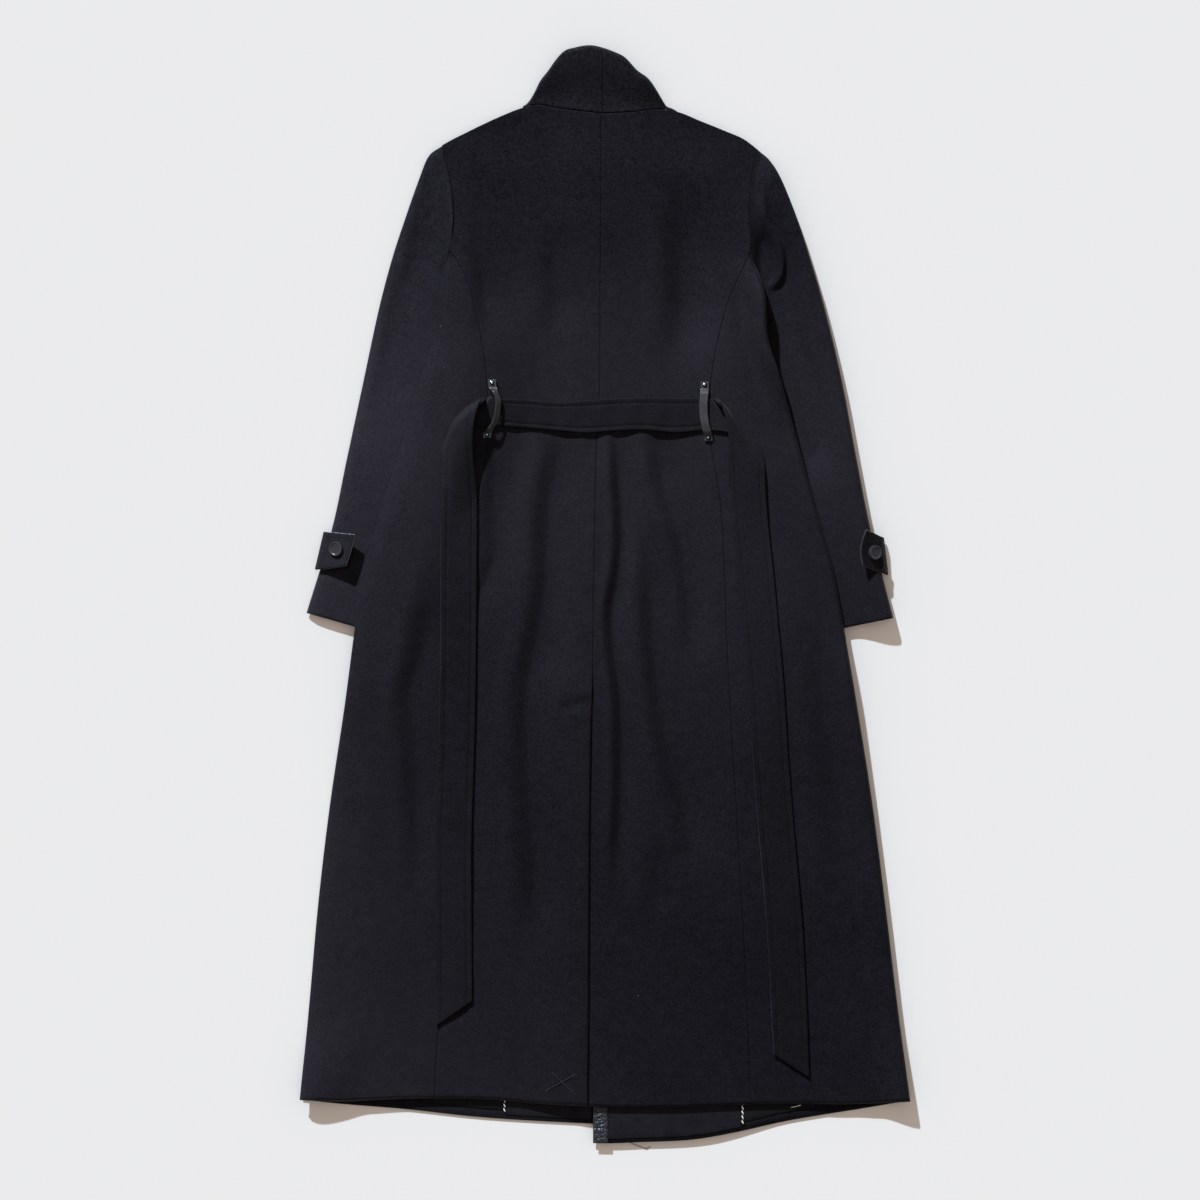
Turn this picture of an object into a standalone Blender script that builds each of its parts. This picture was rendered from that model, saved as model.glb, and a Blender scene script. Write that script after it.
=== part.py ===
"""Long black wool wrap coat, laid flat on its front with its back upward.

Tables are in millimetres. X runs to the right across the back, Y toward the collar, Z up from the table.
Each panel is a wall of cloth over its outline, resting on the panels below it.
"""

import math

import bmesh
import bpy
import numpy as np

MM = 0.001

# Cloth and trim thicknesses
WALL = 3.0
FACING_WALL = 1.2
BELT_WALL = 4.4
LOOP_WALL = 1.8
TAB_WALL = 3.2

# Clearances between pieces that are sewn or lie together
GAP = 0.3
SEWN_GAP = 0.8
LAID_GAP = 0.7

# Heights of the layers
SLEEVE_ARCH = 3.4
SLEEVE_ROUND = 0.8
ARMHOLE_ARCH = 0.45
ARMHOLE_GROW = 1.5
SLEEVE_COVER = 10.2
COVER_MARGIN = 8.0
COVER_FALL = 100.0
PUFF = 3.4
EDGE_PUFF = 1.3
EDGE_PUFF_WIDTH = 60.0
SHOULDER_PUFF = (590.0, 520.0)

# Levels between which the sleeves slip under the body, and where they come to an end under it
SLEEVE_TUCK_LEFT = (500.0, 430.0)
SLEEVE_TUCK_RIGHT = (485.0, 410.0)
SLEEVE_END = (-60.0, -150.0)

# Ends of the shoulder line, middle of the neck seam and of the collar, level of neck and hem
SHOULDER_LEFT = -203.8
SHOULDER_RIGHT = 192.0
NECK_MIDDLE = -5.0
NECK_LEVEL = 602.0
HEM_LEVEL = -640.0
COLLAR_LEFT = -94.0
COLLAR_MIDDLE = -2.5
COLLAR_RIGHT = 77.5
COLLAR_FRONT_EDGES = (40.0, -12.0)

# Rows of the body's panels below and above the lower end of the armholes, and their columns
SEAM_START = 431.0
LOWER_ROWS = 30
UPPER_ROWS = 7
BODY_ROWS = LOWER_ROWS + UPPER_ROWS
VENT_COLUMNS = 2
CENTER_COLUMNS = 10
SIDE_COLUMNS = 6
FRONT_COLUMNS = 12

# Columns and rows of the smaller pieces
UPPER_SLEEVE_GRID = (8, 22)
UNDER_SLEEVE_GRID = (6, 18)
COLLAR_FRONT_GRID = (8, 4)
COLLAR_BACK_GRID = (10, 4)
HEM_PIECE_GRID = (5, 2)
WAIST_GRID = (14, 4)
TAIL_COLUMNS = 4
LOOP_GRID = (2, 16)
TAB_GRID = (8, 4)

# Back vent, lapped left over right
VENT_TOP = -133.0
VENT_LAP = 28.0
VENT_FADE = 60.0
VENT_EASE = 6.0
VENT_RISE = (100.0, 40.0)

# Belt, loops, rivets and buttons
BELT_HALF = 22.0
BELT_TURN = 4.1
LOOP_HALF = 5.2
RIVET_RADIUS = 2.6
RIVET_HEIGHT = 1.4
RIVET_DOME = 0.6
RIVET_SEAT = 0.6
BUTTON_RADIUS = 9.0
BUTTON_HEIGHT = 3.4
BUTTON_RIM = 1.6
BUTTON_DISH = 0.9
BUTTON_SHANK = 0.8
PIPING_RADIUS = 1.2

# Level | left edge | left princess seam | centre back | right princess seam | right edge
BODY = (
    (558.8, -203.8, -203.8, -5.0, 192.0, 192.0),
    (532.0, -197.0, -197.0, -5.0, 185.0, 185.0),
    (505.0, -192.0, -192.0, -5.0, 181.3, 181.3),
    (456.0, -191.3, -191.3, -5.5, 181.3, 181.3),
    (431.0, -195.6, -194.6, -5.5, 181.5, 182.5),
    (418.8, -197.8, -186.0, -5.5, 177.6, 184.6),
    (400.0, -203.5, -175.0, -5.8, 168.8, 193.0),
    (375.0, -208.8, -166.3, -6.0, 157.5, 201.5),
    (318.8, -215.0, -153.8, -6.0, 141.3, 208.8),
    (268.8, -231.3, -147.5, -6.3, 132.5, 221.3),
    (201.3, -250.0, -145.0, -10.0, 131.3, 238.8),
    (118.8, -276.3, -158.8, -12.0, 143.8, 261.3),
    (18.8, -305.0, -168.8, -13.8, 150.0, 288.8),
    (-56.3, -315.0, -173.8, -15.0, 152.5, 301.3),
    (-131.3, -325.0, -180.0, -16.3, 156.3, 313.8),
    (-256.3, -343.8, -190.0, -18.5, 163.8, 333.8),
    (-381.3, -358.8, -198.8, -19.4, 171.3, 350.0),
    (-506.3, -370.0, -206.3, -20.0, 177.5, 365.0),
    (-640.0, -382.5, -214.0, -21.3, 183.0, 382.5),
)

# Across | neck seam and shoulder line
TOP = (
    (-203.8, 561.3),
    (-198.8, 568.8),
    (-172.5, 581.3),
    (-131.3, 598.8),
    (-106.3, 608.8),
    (-87.5, 613.5),
    (-56.3, 608.8),
    (-18.8, 603.8),
    (-2.5, 602.5),
    (31.3, 603.8),
    (77.5, 607.0),
    (92.5, 603.8),
    (117.5, 593.8),
    (148.8, 581.3),
    (176.3, 568.8),
    (192.5, 556.3),
)

# Across | back hem | left front hem | right front hem
HEM = (
    (-382.5, -631.3, -632.5, -632.5),
    (-333.8, -634.0, -637.5, -637.5),
    (-255.0, -631.3, -643.8, -643.8),
    (-162.5, -631.3, -653.8, -653.8),
    (-67.5, -638.0, -660.0, -680.0),
    (-15.0, -639.5, -662.5, -686.3),
    (46.3, -642.0, -664.0, -685.0),
    (116.3, -641.0, -664.0, -681.3),
    (160.0, -638.8, -664.0, -673.8),
    (230.0, -637.5, -664.0, -658.8),
    (321.3, -637.5, -664.0, -643.8),
    (382.5, -633.0, -664.0, -633.8),
)

# Level | hidden edge of the left front | edge of the right front that lies on it
FRONT_EDGE = (
    (610.0, 55.0, -12.0),
    (200.0, 110.0, -14.0),
    (-690.0, 120.0, -15.0),
)

# Across | upper outline of the collar
COLLAR_TOP = (
    (-94.0, 621.0),
    (-88.8, 630.0),
    (-81.3, 643.8),
    (-71.3, 656.3),
    (-62.5, 668.8),
    (-51.3, 680.5),
    (-37.5, 685.0),
    (-16.3, 687.5),
    (-2.5, 684.5),
    (10.0, 680.0),
    (25.0, 672.5),
    (40.0, 656.5),
    (56.3, 643.8),
    (65.0, 631.3),
    (72.5, 618.8),
    (77.5, 612.5),
)

# Station | outer x | outer y | inner x | inner y
SLEEVE_LEFT = (
    (0, -204.1, 560.6, -201.5, 404.0),
    (1, -221.3, 548.8, -200.6, 396.0),
    (2, -233.8, 518.8, -198.0, 386.0),
    (3, -251.3, 468.8, -191.3, 362.5),
    (4, -267.5, 418.8, -183.8, 333.8),
    (5, -283.8, 356.3, -186.3, 287.5),
    (6, -302.5, 268.8, -197.5, 218.8),
    (7, -323.8, 168.8, -218.8, 131.3),
    (8, -342.5, 81.3, -241.3, 50.0),
    (9, -373.8, -22.5, -263.8, -53.8),
)
SLEEVE_RIGHT = (
    (0, 192.3, 556.0, 201.0, 379.0),
    (1, 206.3, 543.8, 201.5, 372.0),
    (2, 221.3, 518.8, 201.0, 363.8),
    (3, 241.3, 468.8, 196.3, 341.3),
    (4, 257.5, 418.8, 187.5, 312.5),
    (5, 275.0, 358.8, 182.5, 271.3),
    (6, 296.3, 268.8, 190.0, 218.8),
    (7, 315.0, 168.8, 208.8, 131.3),
    (8, 332.5, 81.3, 231.3, 50.0),
    (9, 360.6, -28.8, 251.3, -51.3),
)
ARMHOLE_FADE = 3.0

# Soft folds: upper x | upper y | middle x | middle y | lower x | lower y | depth | half width
BACK_FOLDS = (
    (16.0, 195.0, 15.0, -119.0, 10.0, -450.0, 3.0, 15.0),
    (-56.0, 195.0, -87.0, -119.0, -81.0, -420.0, 2.4, 20.0),
    (71.0, 190.0, 99.0, 77.0, 110.0, -30.0, 2.4, 15.0),
    (60.0, 10.0, 72.0, -144.0, 110.0, -300.0, 2.4, 16.0),
    (-165.0, 520.0, -156.0, 444.0, -142.0, 330.0, 1.6, 18.0),
    (96.0, 505.0, 97.0, 410.0, 99.0, 315.0, 1.8, 20.0),
    (-228.0, 5.0, -240.0, -131.0, -240.0, -360.0, 1.8, 18.0),
    (270.0, -40.0, 282.0, -190.0, 292.0, -380.0, 1.5, 20.0),
)
SLEEVE_FOLDS = (
    (199.0, 522.0, 223.0, 437.0, 207.0, 372.0, 2.6, 10.0),
    (-219.0, 532.0, -233.0, 435.0, -275.0, 275.0, 2.2, 13.0),
)
FOLD_FADE = 45.0

# Across | upper belt edge | lower belt edge, between the loops
WAIST = (
    (-136.3, 245.0, 212.0),
    (-96.0, 243.8, 208.8),
    (-53.8, 241.0, 205.0),
    (-27.5, 242.5, 202.5),
    (11.3, 245.0, 205.0),
    (48.8, 246.3, 206.3),
    (87.5, 246.0, 203.0),
    (123.8, 245.0, 206.0),
)

# Level | middle of the left tail | middle of the right tail
TAIL = (
    (190.0, -182.0, 176.5),
    (120.0, -182.0, 178.5),
    (20.0, -183.0, 188.5),
    (-110.0, -184.0, 200.5),
    (-215.0, -186.5, 207.5),
    (-300.0, -189.0, 214.5),
    (-410.0, -189.0, 224.0),
    (-600.0, -187.5, 233.5),
)

TAIL_TOP = 190.0
TAIL_EASE = 120.0

# Belt tails: side | start across | start level | half width at the loop | lower end | slant of the end
TAIL_CUTS = {
    "belt_tail_left": (-1, -136.9, 228.5, 17.0, -522.0, 0.7),
    "belt_tail_right": (1, 124.4, 225.5, 19.5, -588.0, 0.64),
}

# Travel past the fold | slant of the section, as the tail comes out of its fold
TAIL_TURN = (
    (18.0, 0.7),
    (38.0, 0.35),
    (62.0, 0.1),
    (90.0, 0.0),
)
FOLD_STEPS = 6
TAIL_PLAIN = (125.0, 70.0)
TAIL_PLAIN_STEPS = 13
TAIL_LAST_STEP = 30.0

# Travel past the fold over which a tail settles on the skirt and its rim comes down
TAIL_SETTLE = (45.0, 230.0)
RIM_GROW = (20.0, 60.0)
RIM_LIFT = 5.0

# Level | across | rise above the back, along each loop
LOOP_LEFT = (
    (269.0, -141.0, 0.0),
    (259.0, -140.0, 0.1),
    (251.0, -136.5, 4.4),
    (246.0, -134.5, 5.4),
    (230.0, -134.5, 6.2),
    (214.0, -139.0, 5.6),
    (208.0, -143.0, 4.4),
    (203.0, -146.0, 0.4),
    (196.0, -147.5, 0.0),
)
LOOP_RIGHT = (
    (266.0, 124.5, 0.0),
    (257.0, 124.5, 0.1),
    (251.0, 123.8, 4.4),
    (246.0, 123.2, 5.4),
    (226.0, 122.8, 6.2),
    (208.0, 126.0, 5.6),
    (203.0, 127.5, 4.4),
    (199.0, 128.8, 0.4),
    (192.0, 129.5, 0.0),
)
RIVETS = (
    ("rivet_left_top", LOOP_LEFT, 264.0),
    ("rivet_left_low", LOOP_LEFT, 199.5),
    ("rivet_right_top", LOOP_RIGHT, 261.5),
    ("rivet_right_low", LOOP_RIGHT, 195.5),
)

# Corner x and y: sewn end upper, sewn end lower, free end upper, free end lower
TAB_LEFT = ((-350.0, 78.8), (-361.0, 31.3), (-312.0, 75.0), (-323.0, 36.5))
TAB_RIGHT = ((346.5, 71.3), (352.0, 25.0), (324.5, 80.0), (323.0, 36.5))
TAB_LEFT_TURN = 0.09
TAB_RIGHT_TURN = 0.16
TAB_BASE = 3.4
TAB_SEAT_LEFT = 7.4
TAB_SEAT_RIGHT = 6.3
TAB_RISE_LEFT = 14.0
TAB_RISE_RIGHT = 20.0
TAB_ROUND = 0.7
BUTTON_LEFT = (-335.0, 57.5)
BUTTON_RIGHT = (335.5, 53.0)

# Hem pieces inside the fronts: first x | last x | how far above the front's lower edge they stop
FACING_TOP = -602.0
FACINGS = {
    "facing_left": (-124.0, -17.0, 6.0),
    "facing_right": (4.0, 170.5, 6.0),
    "lining_left": (-215.0, -127.5, 12.0),
    "lining_right": (174.0, 262.0, 12.0),
    "front_edge_binding": (-14.6, 3.4, 0.6),
}
PIPINGS = {"piping_left": (-125.8, 10.0), "piping_right": (172.3, 10.0)}


def smooth(table, column):
    """Smooth curve through one column of a table, read against its first column."""
    rows = np.array(sorted(table), float)
    at = rows[:, 0]
    value = rows[:, column]
    slope = np.gradient(value, at)

    def read(where):
        where = np.clip(where, at[0], at[-1])
        k = np.clip(np.searchsorted(at, where) - 1, 0, len(at) - 2)
        step = at[k + 1] - at[k]
        f = (where - at[k]) / step
        start = (2 * f**3 - 3 * f**2 + 1) * value[k] + (f**3 - 2 * f**2 + f) * step * slope[k]
        end = (3 * f**2 - 2 * f**3) * value[k + 1] + (f**3 - f**2) * step * slope[k + 1]
        return start + end

    return read


def ramp(where, start, end):
    """Soft step from 0 at start to 1 at end."""
    f = np.clip((where - start) / (end - start), 0.0, 1.0)
    return f * f * (3 - 2 * f)


def mix(a, b, f):
    """Value that runs from a to b as f runs from 0 to 1."""
    return a + (b - a) * f


left_edge, left_seam, centre, right_seam, right_edge = [smooth(BODY, k) for k in range(1, 6)]
top_line = smooth(TOP, 1)
back_hem, left_hem, right_hem = [smooth(HEM, k) for k in range(1, 4)]
left_front_edge, right_front_edge = [smooth(FRONT_EDGE, k) for k in range(1, 3)]
collar_line = smooth(COLLAR_TOP, 1)
left_inner = smooth([(row[4], row[3]) for row in SLEEVE_LEFT], 1)
right_inner = smooth([(row[4], row[3]) for row in SLEEVE_RIGHT], 1)
left_tail, right_tail = [smooth(TAIL, k) for k in range(1, 3)]


def cover_left(x, y):
    """Height at which the left front passes over the sleeve that is tucked under it."""
    along = ramp(y, *SLEEVE_TUCK_LEFT) * ramp(y, SLEEVE_END[1], SLEEVE_END[0])
    edge = left_inner(y) + COVER_MARGIN
    return SLEEVE_COVER * along * ramp(x, edge + COVER_FALL, edge)


def cover_right(x, y):
    """Height at which the right front passes over the sleeve that is tucked under it."""
    along = ramp(y, *SLEEVE_TUCK_RIGHT) * ramp(y, SLEEVE_END[1], SLEEVE_END[0])
    edge = right_inner(y) - COVER_MARGIN
    return SLEEVE_COVER * along * ramp(x, edge - COVER_FALL, edge)


def wrap_lift(x, y):
    """Rise of the right front over the left one."""
    edge = left_front_edge(y) + COVER_MARGIN
    return (WALL + GAP) * ramp(x, edge + COVER_FALL, edge)


def fronts_top(x, y):
    """Upper face of the fronts, smoothed over their edges, as the back lies on it."""
    near = right_front_edge(y) - COVER_MARGIN
    lapped = ramp(x, near - COVER_FALL / 2, near)
    return WALL + cover_left(x, y) + cover_right(x, y) + lapped * wrap_lift(x, y)


def folds(x, y, table):
    """Depth of the soft folds at a place."""
    depth = np.zeros(np.shape(x))
    for x1, y1, x2, y2, x3, y3, deep, half in table:
        first = x1 * (y - y2) * (y - y3) / ((y1 - y2) * (y1 - y3))
        second = x2 * (y - y1) * (y - y3) / ((y2 - y1) * (y2 - y3))
        third = x3 * (y - y1) * (y - y2) / ((y3 - y1) * (y3 - y2))
        inside = ramp(y, y1, y1 - FOLD_FADE) * ramp(y, y3, y3 + FOLD_FADE)
        off = (x - first - second - third) / half
        depth = np.maximum(depth, deep * inside * np.exp(-np.clip(off * off, 0, 30)))
    return depth


def back_floor(x, y):
    """Lower face of the back, puffed a little off the fronts and creased by its folds."""
    room = np.minimum(x - left_edge(y), right_edge(y) - x)
    low = ramp(room, 0.0, EDGE_PUFF_WIDTH) * ramp(y, *SHOULDER_PUFF)
    soft = mix(EDGE_PUFF, PUFF, low) - folds(x, y, BACK_FOLDS) * low
    return fronts_top(x, y) + GAP + soft


def vent_lift(x, y):
    """Rise of the left back panel over the part of the right one that lies under it."""
    away = centre(y) - x
    down = ramp(y, VENT_TOP + VENT_RISE[0], VENT_TOP + VENT_RISE[1])
    return (WALL + LAID_GAP) * down * ramp(away, VENT_LAP + VENT_FADE, VENT_LAP + VENT_EASE)


def back_top(x, y):
    """Upper face of the back, on which the belt and loops lie."""
    return back_floor(x, y) + WALL


def level(v, low, high):
    """Level of a row: evenly spaced up to the armhole, then evenly to the top."""
    share = LOWER_ROWS / BODY_ROWS
    lower = np.clip(v / share, 0, 1)
    upper = np.clip((v - share) / (1 - share), 0, 1)
    return mix(low, SEAM_START, lower) + (high - SEAM_START) * upper


def back_center_left(u, v):
    foot = back_hem(mix(centre(HEM_LEVEL), left_seam(HEM_LEVEL), u))
    y = level(v, foot, top_line(mix(NECK_MIDDLE, SHOULDER_LEFT, u)))
    x = mix(centre(y) - GAP / 2, left_seam(y) + GAP / 2, u)
    return x, y, back_floor(x, y) + vent_lift(x, y)


def back_center_right(u, v):
    lap = VENT_COLUMNS / (VENT_COLUMNS + CENTER_COLUMNS)
    across = np.clip((u - lap) / (1 - lap), 0, 1)
    under = np.clip((lap - u) / lap, 0, 1)
    foot = back_hem(mix(centre(HEM_LEVEL), right_seam(HEM_LEVEL), across))
    y = level(v, foot, top_line(mix(NECK_MIDDLE, SHOULDER_RIGHT, across)))
    x = mix(centre(y) + GAP / 2, right_seam(y) - GAP / 2, across) - VENT_LAP * under
    return x, y, back_floor(x, y)


def over_vent(u, v):
    """Where the lapped strip of the right back panel isn't cut."""
    lap = VENT_COLUMNS / (VENT_COLUMNS + CENTER_COLUMNS)
    return u < lap and level(v, HEM_LEVEL, NECK_LEVEL) > VENT_TOP


def back_side_left(u, v):
    y = mix(back_hem(mix(left_seam(HEM_LEVEL), left_edge(HEM_LEVEL), u)), SEAM_START, v)
    x = mix(left_seam(y) - GAP / 2, left_edge(y), u)
    return x, y, back_floor(x, y)


def back_side_right(u, v):
    y = mix(back_hem(mix(right_seam(HEM_LEVEL), right_edge(HEM_LEVEL), u)), SEAM_START, v)
    x = mix(right_seam(y) + GAP / 2, right_edge(y), u)
    return x, y, back_floor(x, y)


def front_left(u, v):
    foot = left_hem(mix(left_edge(HEM_LEVEL), left_front_edge(HEM_LEVEL), u))
    y = level(v, foot, top_line(mix(SHOULDER_LEFT, left_front_edge(NECK_LEVEL), u)))
    x = mix(left_edge(y), left_front_edge(y), u)
    return x, y, cover_left(x, y)


def front_right(u, v):
    foot = right_hem(mix(right_front_edge(HEM_LEVEL), right_edge(HEM_LEVEL), u))
    y = level(v, foot, top_line(mix(right_front_edge(NECK_LEVEL), SHOULDER_RIGHT, u)))
    x = mix(right_front_edge(y), right_edge(y), u)
    return x, y, cover_right(x, y) + wrap_lift(x, y)


def collar_back(side_x):
    def place(u, v):
        x = mix(COLLAR_MIDDLE + math.copysign(GAP / 2, side_x), side_x, u)
        y = mix(top_line(x) + SEWN_GAP, collar_line(x), v)
        return x, y, back_floor(x, y)

    return place


def collar_front(first_x, last_x, lapped):
    def place(u, v):
        x = mix(first_x, last_x, u)
        y = mix(top_line(x) + SEWN_GAP, collar_line(x), v)
        return x, y, lapped * wrap_lift(x, y)

    return place


def sleeve(table, edge, side, upper):
    """Panel of a sleeve, across from right to left and along from armhole to cuff."""
    stations = [smooth(table, k) for k in range(1, 5)]
    last = table[-1][0]
    arm_high = table[0][2]
    arm_low = table[0][4]

    def place(u, v):
        along = v * last
        if side < 0:
            u = 1 - u
        outer_x, outer_y, inner_x, inner_y = [read(along) for read in stations]
        x = mix(outer_x, inner_x, u)
        y = mix(outer_y, inner_y, u)
        seam_y = mix(arm_high, arm_low, u)
        bow = edge(seam_y) + side * SEWN_GAP - mix(table[0][1], table[0][3], u)
        x = x + bow * ramp(along, ARMHOLE_FADE, 0.0)
        if not upper:
            return x, y, np.zeros(np.shape(x))
        arch = np.clip(np.sin(math.pi * u), 0, 1) ** SLEEVE_ROUND
        arch = arch * mix(ARMHOLE_ARCH, 1.0, ramp(along, 0.0, ARMHOLE_GROW))
        return x, y, WALL + GAP + arch * (SLEEVE_ARCH - folds(x, y, SLEEVE_FOLDS))

    return place


def tab(corners, turn, seat, rise):
    """Cuff tab, sewn at the sleeve's outer edge and standing off it at the free end."""
    (x1, y1), (x2, y2), (x3, y3), (x4, y4) = corners

    def place(u, v):
        x = mix(mix(x2, x4, u), mix(x1, x3, u), v)
        y = mix(mix(y2, y4, u), mix(y1, y3, u), v)
        over = np.clip(u / turn, 0, 1)
        free = np.clip((u - turn) / (1 - turn), 0, 1)
        return x, y, mix(TAB_BASE, seat, over**TAB_ROUND) + rise * free

    return place


def hem_piece(first_x, last_x, stop, hem, lapped):
    def place(u, v):
        x = mix(first_x, last_x, u)
        y = mix(hem(x) + stop, FACING_TOP, v)
        return x, y, WALL + GAP + lapped * wrap_lift(x, y)

    return place


def loop(table):
    across = smooth(table, 1)
    rise = smooth(table, 2)
    high = table[0][0]
    low = table[-1][0]

    def place(u, v):
        y = mix(low, high, v)
        x = across(y) + mix(-LOOP_HALF, LOOP_HALF, u)
        return x, y, back_top(across(y), y) + LAID_GAP + np.clip(rise(y), 0.0, None)

    return place


def waist(u, v):
    x = mix(WAIST[0][0], WAIST[-1][0], u)
    y = mix(smooth(WAIST, 2)(x), smooth(WAIST, 1)(x), v)
    return x, y, back_top(x, y) + LAID_GAP + BELT_WALL / 2


def tail(middle_x, side, start_x, middle_y, half, end_y, slant):
    """Belt tail: on from the loop, over a soft slanted fold, then down on the skirt."""
    shift = math.pi * BELT_TURN / math.sqrt(2)
    fold_at = abs(middle_x(TAIL_TOP) - start_x) - shift
    turn = math.sqrt(2) * math.pi * BELT_TURN
    fall = middle_y + shift - end_y
    steps = [(0.0, 0.0), (fold_at / 2, 0.5), (fold_at, 1.0)]
    steps += [(fold_at + turn * k / FOLD_STEPS, 1.0) for k in range(1, FOLD_STEPS + 1)]
    steps += [(fold_at + turn + k, s) for k, s in TAIL_TURN]
    plain = np.linspace(fold_at + TAIL_PLAIN[0], fold_at + fall - TAIL_PLAIN[1], TAIL_PLAIN_STEPS)
    steps += [(k, 0.0) for k in plain]
    steps += [(fold_at + fall - TAIL_LAST_STEP, slant / 2), (fold_at + fall, slant)]
    travel_at = np.array([k for k, s in steps])
    slant_at = np.array([s for k, s in steps])
    across = np.linspace(-1.0, 1.0, TAIL_COLUMNS + 1)

    def place(u, v):
        k = np.rint(v * (len(steps) - 1)).astype(int)
        lean = across[np.rint(u * (len(across) - 1)).astype(int)]
        wide = mix(half, BELT_HALF, ramp(travel_at[k], 0.0, fold_at))
        travel = travel_at[k] - slant_at[k] * lean * wide
        past = (travel - fold_at + lean * wide) / math.sqrt(2)
        bend = np.clip(past, 0.0, math.pi * BELT_TURN)
        normal = np.where(past < bend, past, BELT_TURN * np.sin(bend / BELT_TURN))
        normal = np.where(past > math.pi * BELT_TURN, math.pi * BELT_TURN - past, normal)
        height = BELT_TURN * (1 - np.cos(bend / BELT_TURN))
        along = (travel - fold_at - lean * wide) / math.sqrt(2)
        x = start_x + side * (fold_at + (along + normal) / math.sqrt(2))
        y = middle_y + (normal - along) / math.sqrt(2)
        down = ramp(y, TAIL_TOP, TAIL_EASE)
        x = x + (middle_x(y) - middle_x(TAIL_TOP)) * down
        settled = ramp(past, *TAIL_SETTLE)
        rim = RIM_LIFT * (lean + 1) / 2 * ramp(past, *RIM_GROW)
        return x, y, back_top(x, y) + LAID_GAP + BELT_WALL / 2 + (height + rim) * (1 - settled)

    return place, len(steps) - 1


def finish(piece, name, look):
    """Name a piece, give it its material and put it in the coat's collection."""
    piece.name = name
    piece.data.name = name
    piece.data.materials.clear()
    piece.data.materials.append(look.copy())
    piece.data.materials[0].name = name + "_" + look.name
    for old in list(piece.users_collection):
        old.objects.unlink(piece)
    coat.objects.link(piece)
    return piece


def bend_grid(columns, rows, place, uncut=None):
    """Grid of cloth bent to place(across, along), less the cells that aren't cut."""
    bpy.ops.mesh.primitive_grid_add(x_subdivisions=columns, y_subdivisions=rows, size=2)
    piece = bpy.context.object
    net = bmesh.new()
    net.from_mesh(piece.data)
    if uncut:
        spare = []
        for face in net.faces:
            middle = face.calc_center_median()
            if uncut((middle.x + 1) / 2, (middle.y + 1) / 2):
                spare.append(face)
        bmesh.ops.delete(net, geom=spare, context="FACES")
    flat = np.array([vert.co for vert in net.verts])
    x, y, z = place((flat[:, 0] + 1) / 2, (flat[:, 1] + 1) / 2)
    for vert, spot in zip(net.verts, np.stack([x, y, z], axis=1)):
        vert.co = spot * MM
    return piece, net


def sheet(name, look, columns, rows, place, wall=WALL, uncut=None):
    """Wall of cloth: a bent grid thickened straight up, so that seams keep their gap."""
    piece, net = bend_grid(columns, rows, place, uncut)
    grown = bmesh.ops.extrude_face_region(net, geom=net.faces[:])["geom"]
    upper = [part for part in grown if isinstance(part, bmesh.types.BMVert)]
    bmesh.ops.translate(net, vec=(0, 0, wall * MM), verts=upper)
    bmesh.ops.recalc_face_normals(net, faces=net.faces[:])
    net.to_mesh(piece.data)
    net.free()
    return finish(piece, name, look)


def ribbon(name, look, columns, rows, place, wall):
    """Band of cloth: a bent grid thickened evenly on both sides."""
    piece, net = bend_grid(columns, rows, place)
    net.to_mesh(piece.data)
    net.free()
    thick = piece.modifiers.new("thickness", "SOLIDIFY")
    thick.thickness = wall * MM
    thick.offset = 0.0
    return finish(piece, name, look)


def rivet(name, table, height):
    """Round rivet head on the end of a loop."""
    x = float(smooth(table, 1)(height))
    z = float(back_top(np.array(x), np.array(height))) + LAID_GAP + LOOP_WALL + RIVET_SEAT
    z += max(0.0, float(smooth(table, 2)(height)))
    bpy.ops.mesh.primitive_cylinder_add(
        vertices=16,
        radius=RIVET_RADIUS * MM,
        depth=RIVET_HEIGHT * MM,
        location=(x * MM, height * MM, (z + RIVET_HEIGHT / 2) * MM),
    )
    piece = bpy.context.object
    dome = piece.modifiers.new("dome", "BEVEL")
    dome.width = RIVET_DOME * MM
    dome.segments = 2
    return finish(piece, name, nickel)


def button(name, corners, turn, seat, rise, middle):
    """Round button with a raised rim, lying on the slope of its tab."""
    run = (corners[2][0] + corners[3][0] - corners[0][0] - corners[1][0]) / 2
    slope = rise / ((1 - turn) * run)
    tilt = math.atan(slope)
    bend = (corners[0][0] + corners[1][0]) / 2 + turn * run
    z = seat + slope * (middle[0] - bend) + TAB_WALL
    bpy.ops.mesh.primitive_cylinder_add(vertices=24, radius=BUTTON_RADIUS * MM, depth=BUTTON_HEIGHT * MM)
    piece = bpy.context.object
    net = bmesh.new()
    net.from_mesh(piece.data)
    face = max(net.faces, key=lambda f: f.calc_center_median().z)
    bmesh.ops.inset_region(net, faces=[face], thickness=BUTTON_RIM * MM, depth=0)
    bmesh.ops.inset_region(net, faces=[face], thickness=BUTTON_DISH * MM, depth=-BUTTON_DISH * MM)
    net.to_mesh(piece.data)
    net.free()
    lift = BUTTON_HEIGHT / 2 + BUTTON_SHANK
    turned = piece.data
    across = math.sin(tilt) * lift
    place = (
        (math.cos(tilt), 0, -math.sin(tilt), (middle[0] - across) * MM),
        (0, 1, 0, middle[1] * MM),
        (math.sin(tilt), 0, math.cos(tilt), (z + math.cos(tilt) * lift) * MM),
    )
    for vert in turned.vertices:
        spot = vert.co.copy()
        vert.co = [row[0] * spot.x + row[1] * spot.y + row[2] * spot.z + row[3] for row in place]
    return finish(piece, name, horn)


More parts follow.
